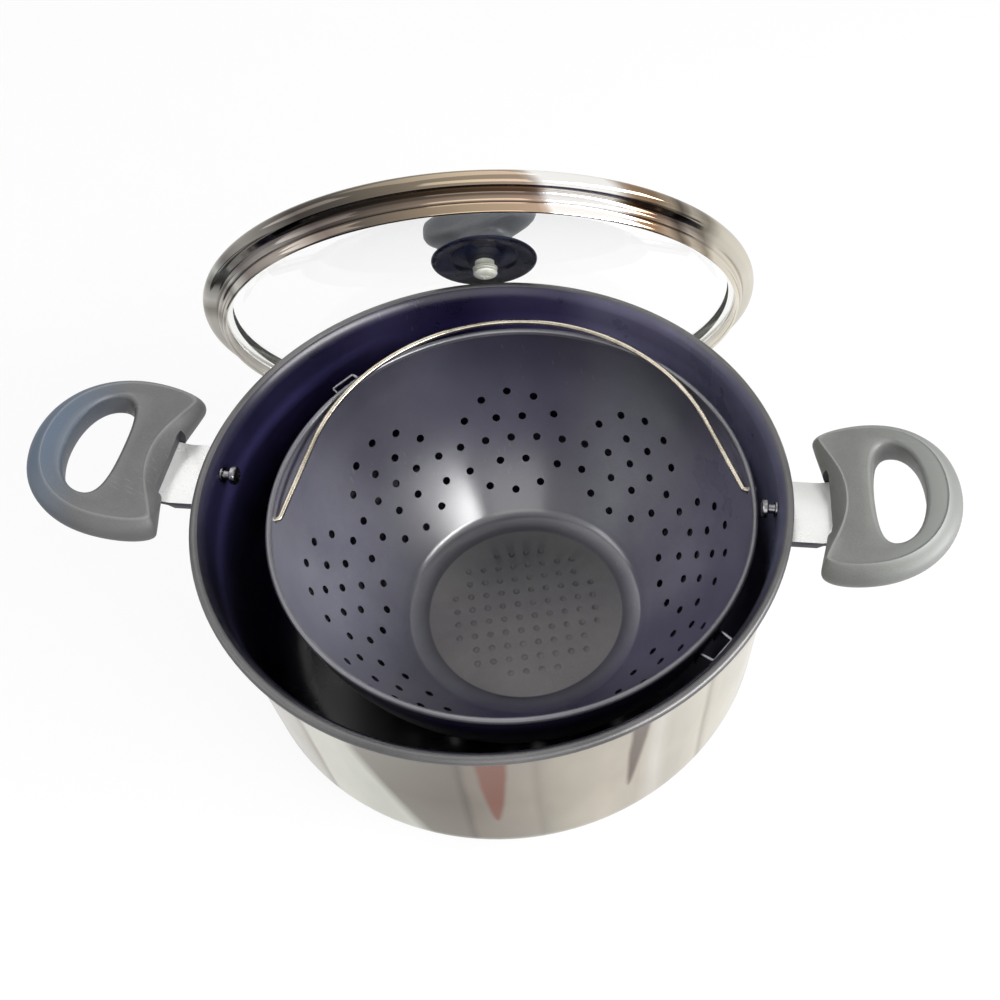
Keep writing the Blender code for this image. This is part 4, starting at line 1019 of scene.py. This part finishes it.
baseLow = domeHeight(knob["baseRadius"] - knob["edge"], lid["glassThick"]) + knob["gap"]
bossLow = domeHeight(0, lid["glassThick"]) + knob["gap"]
baseTop = bossLow + knob["baseHeight"]
gripLow = baseTop + knob["gap"]


def makeKnobScrew():
    radius, head, pitch = knob["screwRadius"], knob["headRadius"], knob["pitch"]
    low, tip = headTop - knob["head"], headTop + knob["screwLength"]
    profile = [
        (0, low), (head * 0.4, low + 0.05), (head * 0.72, low + 0.35), (head * 0.93, low + 0.95), (head, low + 1.5),
        (head - 0.1, headTop - 0.15), (head - 0.4, headTop), (radius, headTop)]
    for i in range(int((tip - headTop - 1.5) / pitch)):  # thread ridges, fuller inside the glass's bore
        z = headTop + 0.6 + i * pitch
        swell = knob["fuller"] if gasketLow + 1.1 < z < bossLow - 1.2 else 0
        crown = radius + swell + 0.12
        profile += [(radius + 0.75 * swell - 0.28, z), (crown, z + 0.35 * pitch), (crown, z + 0.5 * pitch)]
    profile += [(radius - 0.3, tip - 0.6), (radius - 0.8, tip), (0, tip)]
    piece = spun("knobScrew", profile, 40)
    for turn in (0, 90):  # cross recess
        cutBox(piece, knob["recess"], location=(0, 0, low * mm),
               rotation=(0, 0, math.radians(turn + knob["recessTurn"])))
    finishPiece(piece, "lid", "knob_screw", zincPlate, lidPlace, 30)


def makeKnobBase():
    edge, bore, neck, rise = knob["baseRadius"], knob["baseBore"], knob["neckWide"], knob["baseHeight"]
    boss = neck - 1.5
    profile = [
        (bore, baseTop), (neck, baseTop), (0.55 * edge, baseTop - 0.5),
        (0.76 * edge, baseLow + 0.6 * (baseTop - baseLow)), (0.9 * edge, baseLow + 2.4), (edge - 0.5, baseLow + 1.7),
        (edge - 0.1, baseLow + 1.2), (edge, baseLow + 0.8), (edge - 0.2, baseLow + 0.3), (edge - 0.6, baseLow),
        (edge - 1.6, baseLow), (edge - 2.1, baseLow + 0.3), (0.84 * edge, baseLow + 1.2),
        (0.66 * edge, bossLow + 0.2 * rise), (0.62 * edge, bossLow + 0.5 * rise), (boss + 0.8, bossLow + 0.5 * rise),
        (boss, bossLow + 0.3), (boss - 0.3, bossLow), (bore, bossLow), (bore, baseTop)]
    piece = spun("knobBase", profile, 96)
    finishPiece(piece, "lid", "knob_base", knobBasePlastic, lidPlace, 34)


def makeKnobGrip():
    around, square = knob["around"], knob["square"]
    shape = bmesh.new()
    rings = []
    for share, long, wide in knob["levels"]:
        ring = []
        for i in range(around):
            angle = 2 * math.pi * i / around
            c, s = math.cos(angle), math.sin(angle)
            x = long * knob["long"] * math.copysign(abs(c) ** square, c) * (knob["rightLobe"] if c > 0 else 1)
            y = wide * knob["wide"] * math.copysign(abs(s) ** square, s)
            ring.append(shape.verts.new((x * mm, y * mm, (gripLow + share * knob["height"]) * mm)))
        rings.append(ring)
    skin(shape, rings)
    crown = shape.verts.new((0, 0, (gripLow + knob["height"] * 1.012) * mm))
    seat = shape.verts.new((0, 0, gripLow * mm))
    for i in range(around):
        j = (i + 1) % around
        shape.faces.new((rings[-1][i], rings[-1][j], crown))
        shape.faces.new((rings[0][j], rings[0][i], seat))
    piece = meshPiece("knobGrip", shape)
    piece.rotation_euler.z = math.radians(knob["turn"])
    setDown(piece)
    cutRound(piece, "pocket", knob["pocketRadius"], knob["pocketDepth"], (0, 0, gripLow + knob["pocketRise"]))
    subdivision = piece.modifiers.new("rounder", "SUBSURF")
    subdivision.subdivision_type = "SIMPLE"
    subdivision.levels = subdivision.render_levels = 1
    applyModifiers(piece)
    finishPiece(piece, "lid", "knob_grip", knobPlastic, lidPlace, 40)


makeKnobScrew()
makeKnobBase()
makeKnobGrip()
dress("knob_washer", zincPlate)
dress("knob_gasket", sealRubber)
dress("knob_insert", turnedBrass)
print("knob is done")


# studio: pale floor, soft light, camera; here in metres, but for the floor's drop and the camera's place
studio = dict(floorSize=6, floorDrop=0.05, paper=(0.92, 0.92, 0.92, 1), paperGlow=0.9, air=0.32, aim=(0, 0, 0.06),
              lamps=(  # name, power, width, height where it isn't square, place
                  ("keyPanel", 23.0, 1.1, 0.3, (1.0, -0.39, 0.64)),
                  ("overheadPanel", 4.5, 1.2, None, (-0.35, 0.55, 1.25)),
                  ("leftPanel", 3.0, 0.7, None, (-1.1, -0.3, 0.7)),
                  ("frontPanel", 4.5, 1.0, None, (0.25, -1.35, 0.85))))
view = dict(place=(59.4, -254.6, 438.8), right=(0.99785, 0.0623, 0.02021), down=(0.06244, -0.81176, -0.58065),
            forward=(-0.01977, 0.58066, -0.81391), sensor=36, lens=35.65, shiftX=-0.1158, shiftY=0.0286)


def whenSeen(share, plain, bright, output):
    # camera, glossy and transmission rays get a share of the bright shader, the others the plain one
    path = node("LightPath").outputs
    seen = larger(path["Is Camera Ray"], larger(path["Is Glossy Ray"], path["Is Transmission Ray"]))
    mix = node("MixShader", {0: times(seen, share), 1: plain.outputs[0], 2: bright.outputs[0]})
    link(output.inputs, Surface=mix.outputs[0])


def makeFloor():
    leaveEdit()
    bpy.ops.mesh.primitive_plane_add(size=studio["floorSize"], location=(0, 0, -studio["floorDrop"] * mm))
    floor = bpy.context.object
    floor.name = "paperFloor"
    material = newMaterial("palePaper", Roughness=0.9, Base_Color=studio["paper"])[0]
    glow = node("Emission", {"Color": (1, 1, 1, 1), "Strength": 1.0})
    whenSeen(studio["paperGlow"], tree.nodes["Principled BSDF"], glow, tree.nodes["Material Output"])
    floor.data.materials.append(material)


def makeLight(name, power, size, tall, place):
    leaveEdit()
    bpy.ops.object.light_add(type="AREA", location=place)
    light = bpy.context.object
    light.name = name
    light.data.energy = power
    light.data.size = size
    if tall:
        light.data.shape = "RECTANGLE"
        light.data.size_y = tall
    light.rotation_euler = (Vector(studio["aim"]) - Vector(place)).to_track_quat("-Z", "Y").to_euler()


def makeWorld():
    global tree
    world = bpy.data.worlds.new("studioAir")
    bpy.context.scene.world = world
    world.use_nodes = True
    tree = world.node_tree
    tree.nodes.clear()
    soft, bright = (node("Background", {"Color": (1, 1, 1, 1), "Strength": strength})
                    for strength in (studio["air"], 1.0))
    whenSeen(1.0, soft, bright, node("OutputWorld"))


def makeCamera():
    data = bpy.data.cameras.new("photoView")
    data.sensor_width, data.lens = view["sensor"], view["lens"]
    data.shift_x, data.shift_y = view["shiftX"], view["shiftY"]
    camera = bpy.data.objects.new("photoView", data)
    bpy.context.scene.collection.objects.link(camera)
    right, down, forward = (Vector(view[key]) for key in ("right", "down", "forward"))
    turn = Matrix((right, -down, -forward)).transposed().to_4x4()
    camera.matrix_world = Matrix.Translation(Vector(view["place"]) * mm) @ turn
    bpy.context.scene.camera = camera


makeFloor()
makeWorld()
for lamp in studio["lamps"]:
    makeLight(*lamp)
makeCamera()
bpy.context.scene.view_settings.view_transform = "Standard"

leaveEdit()
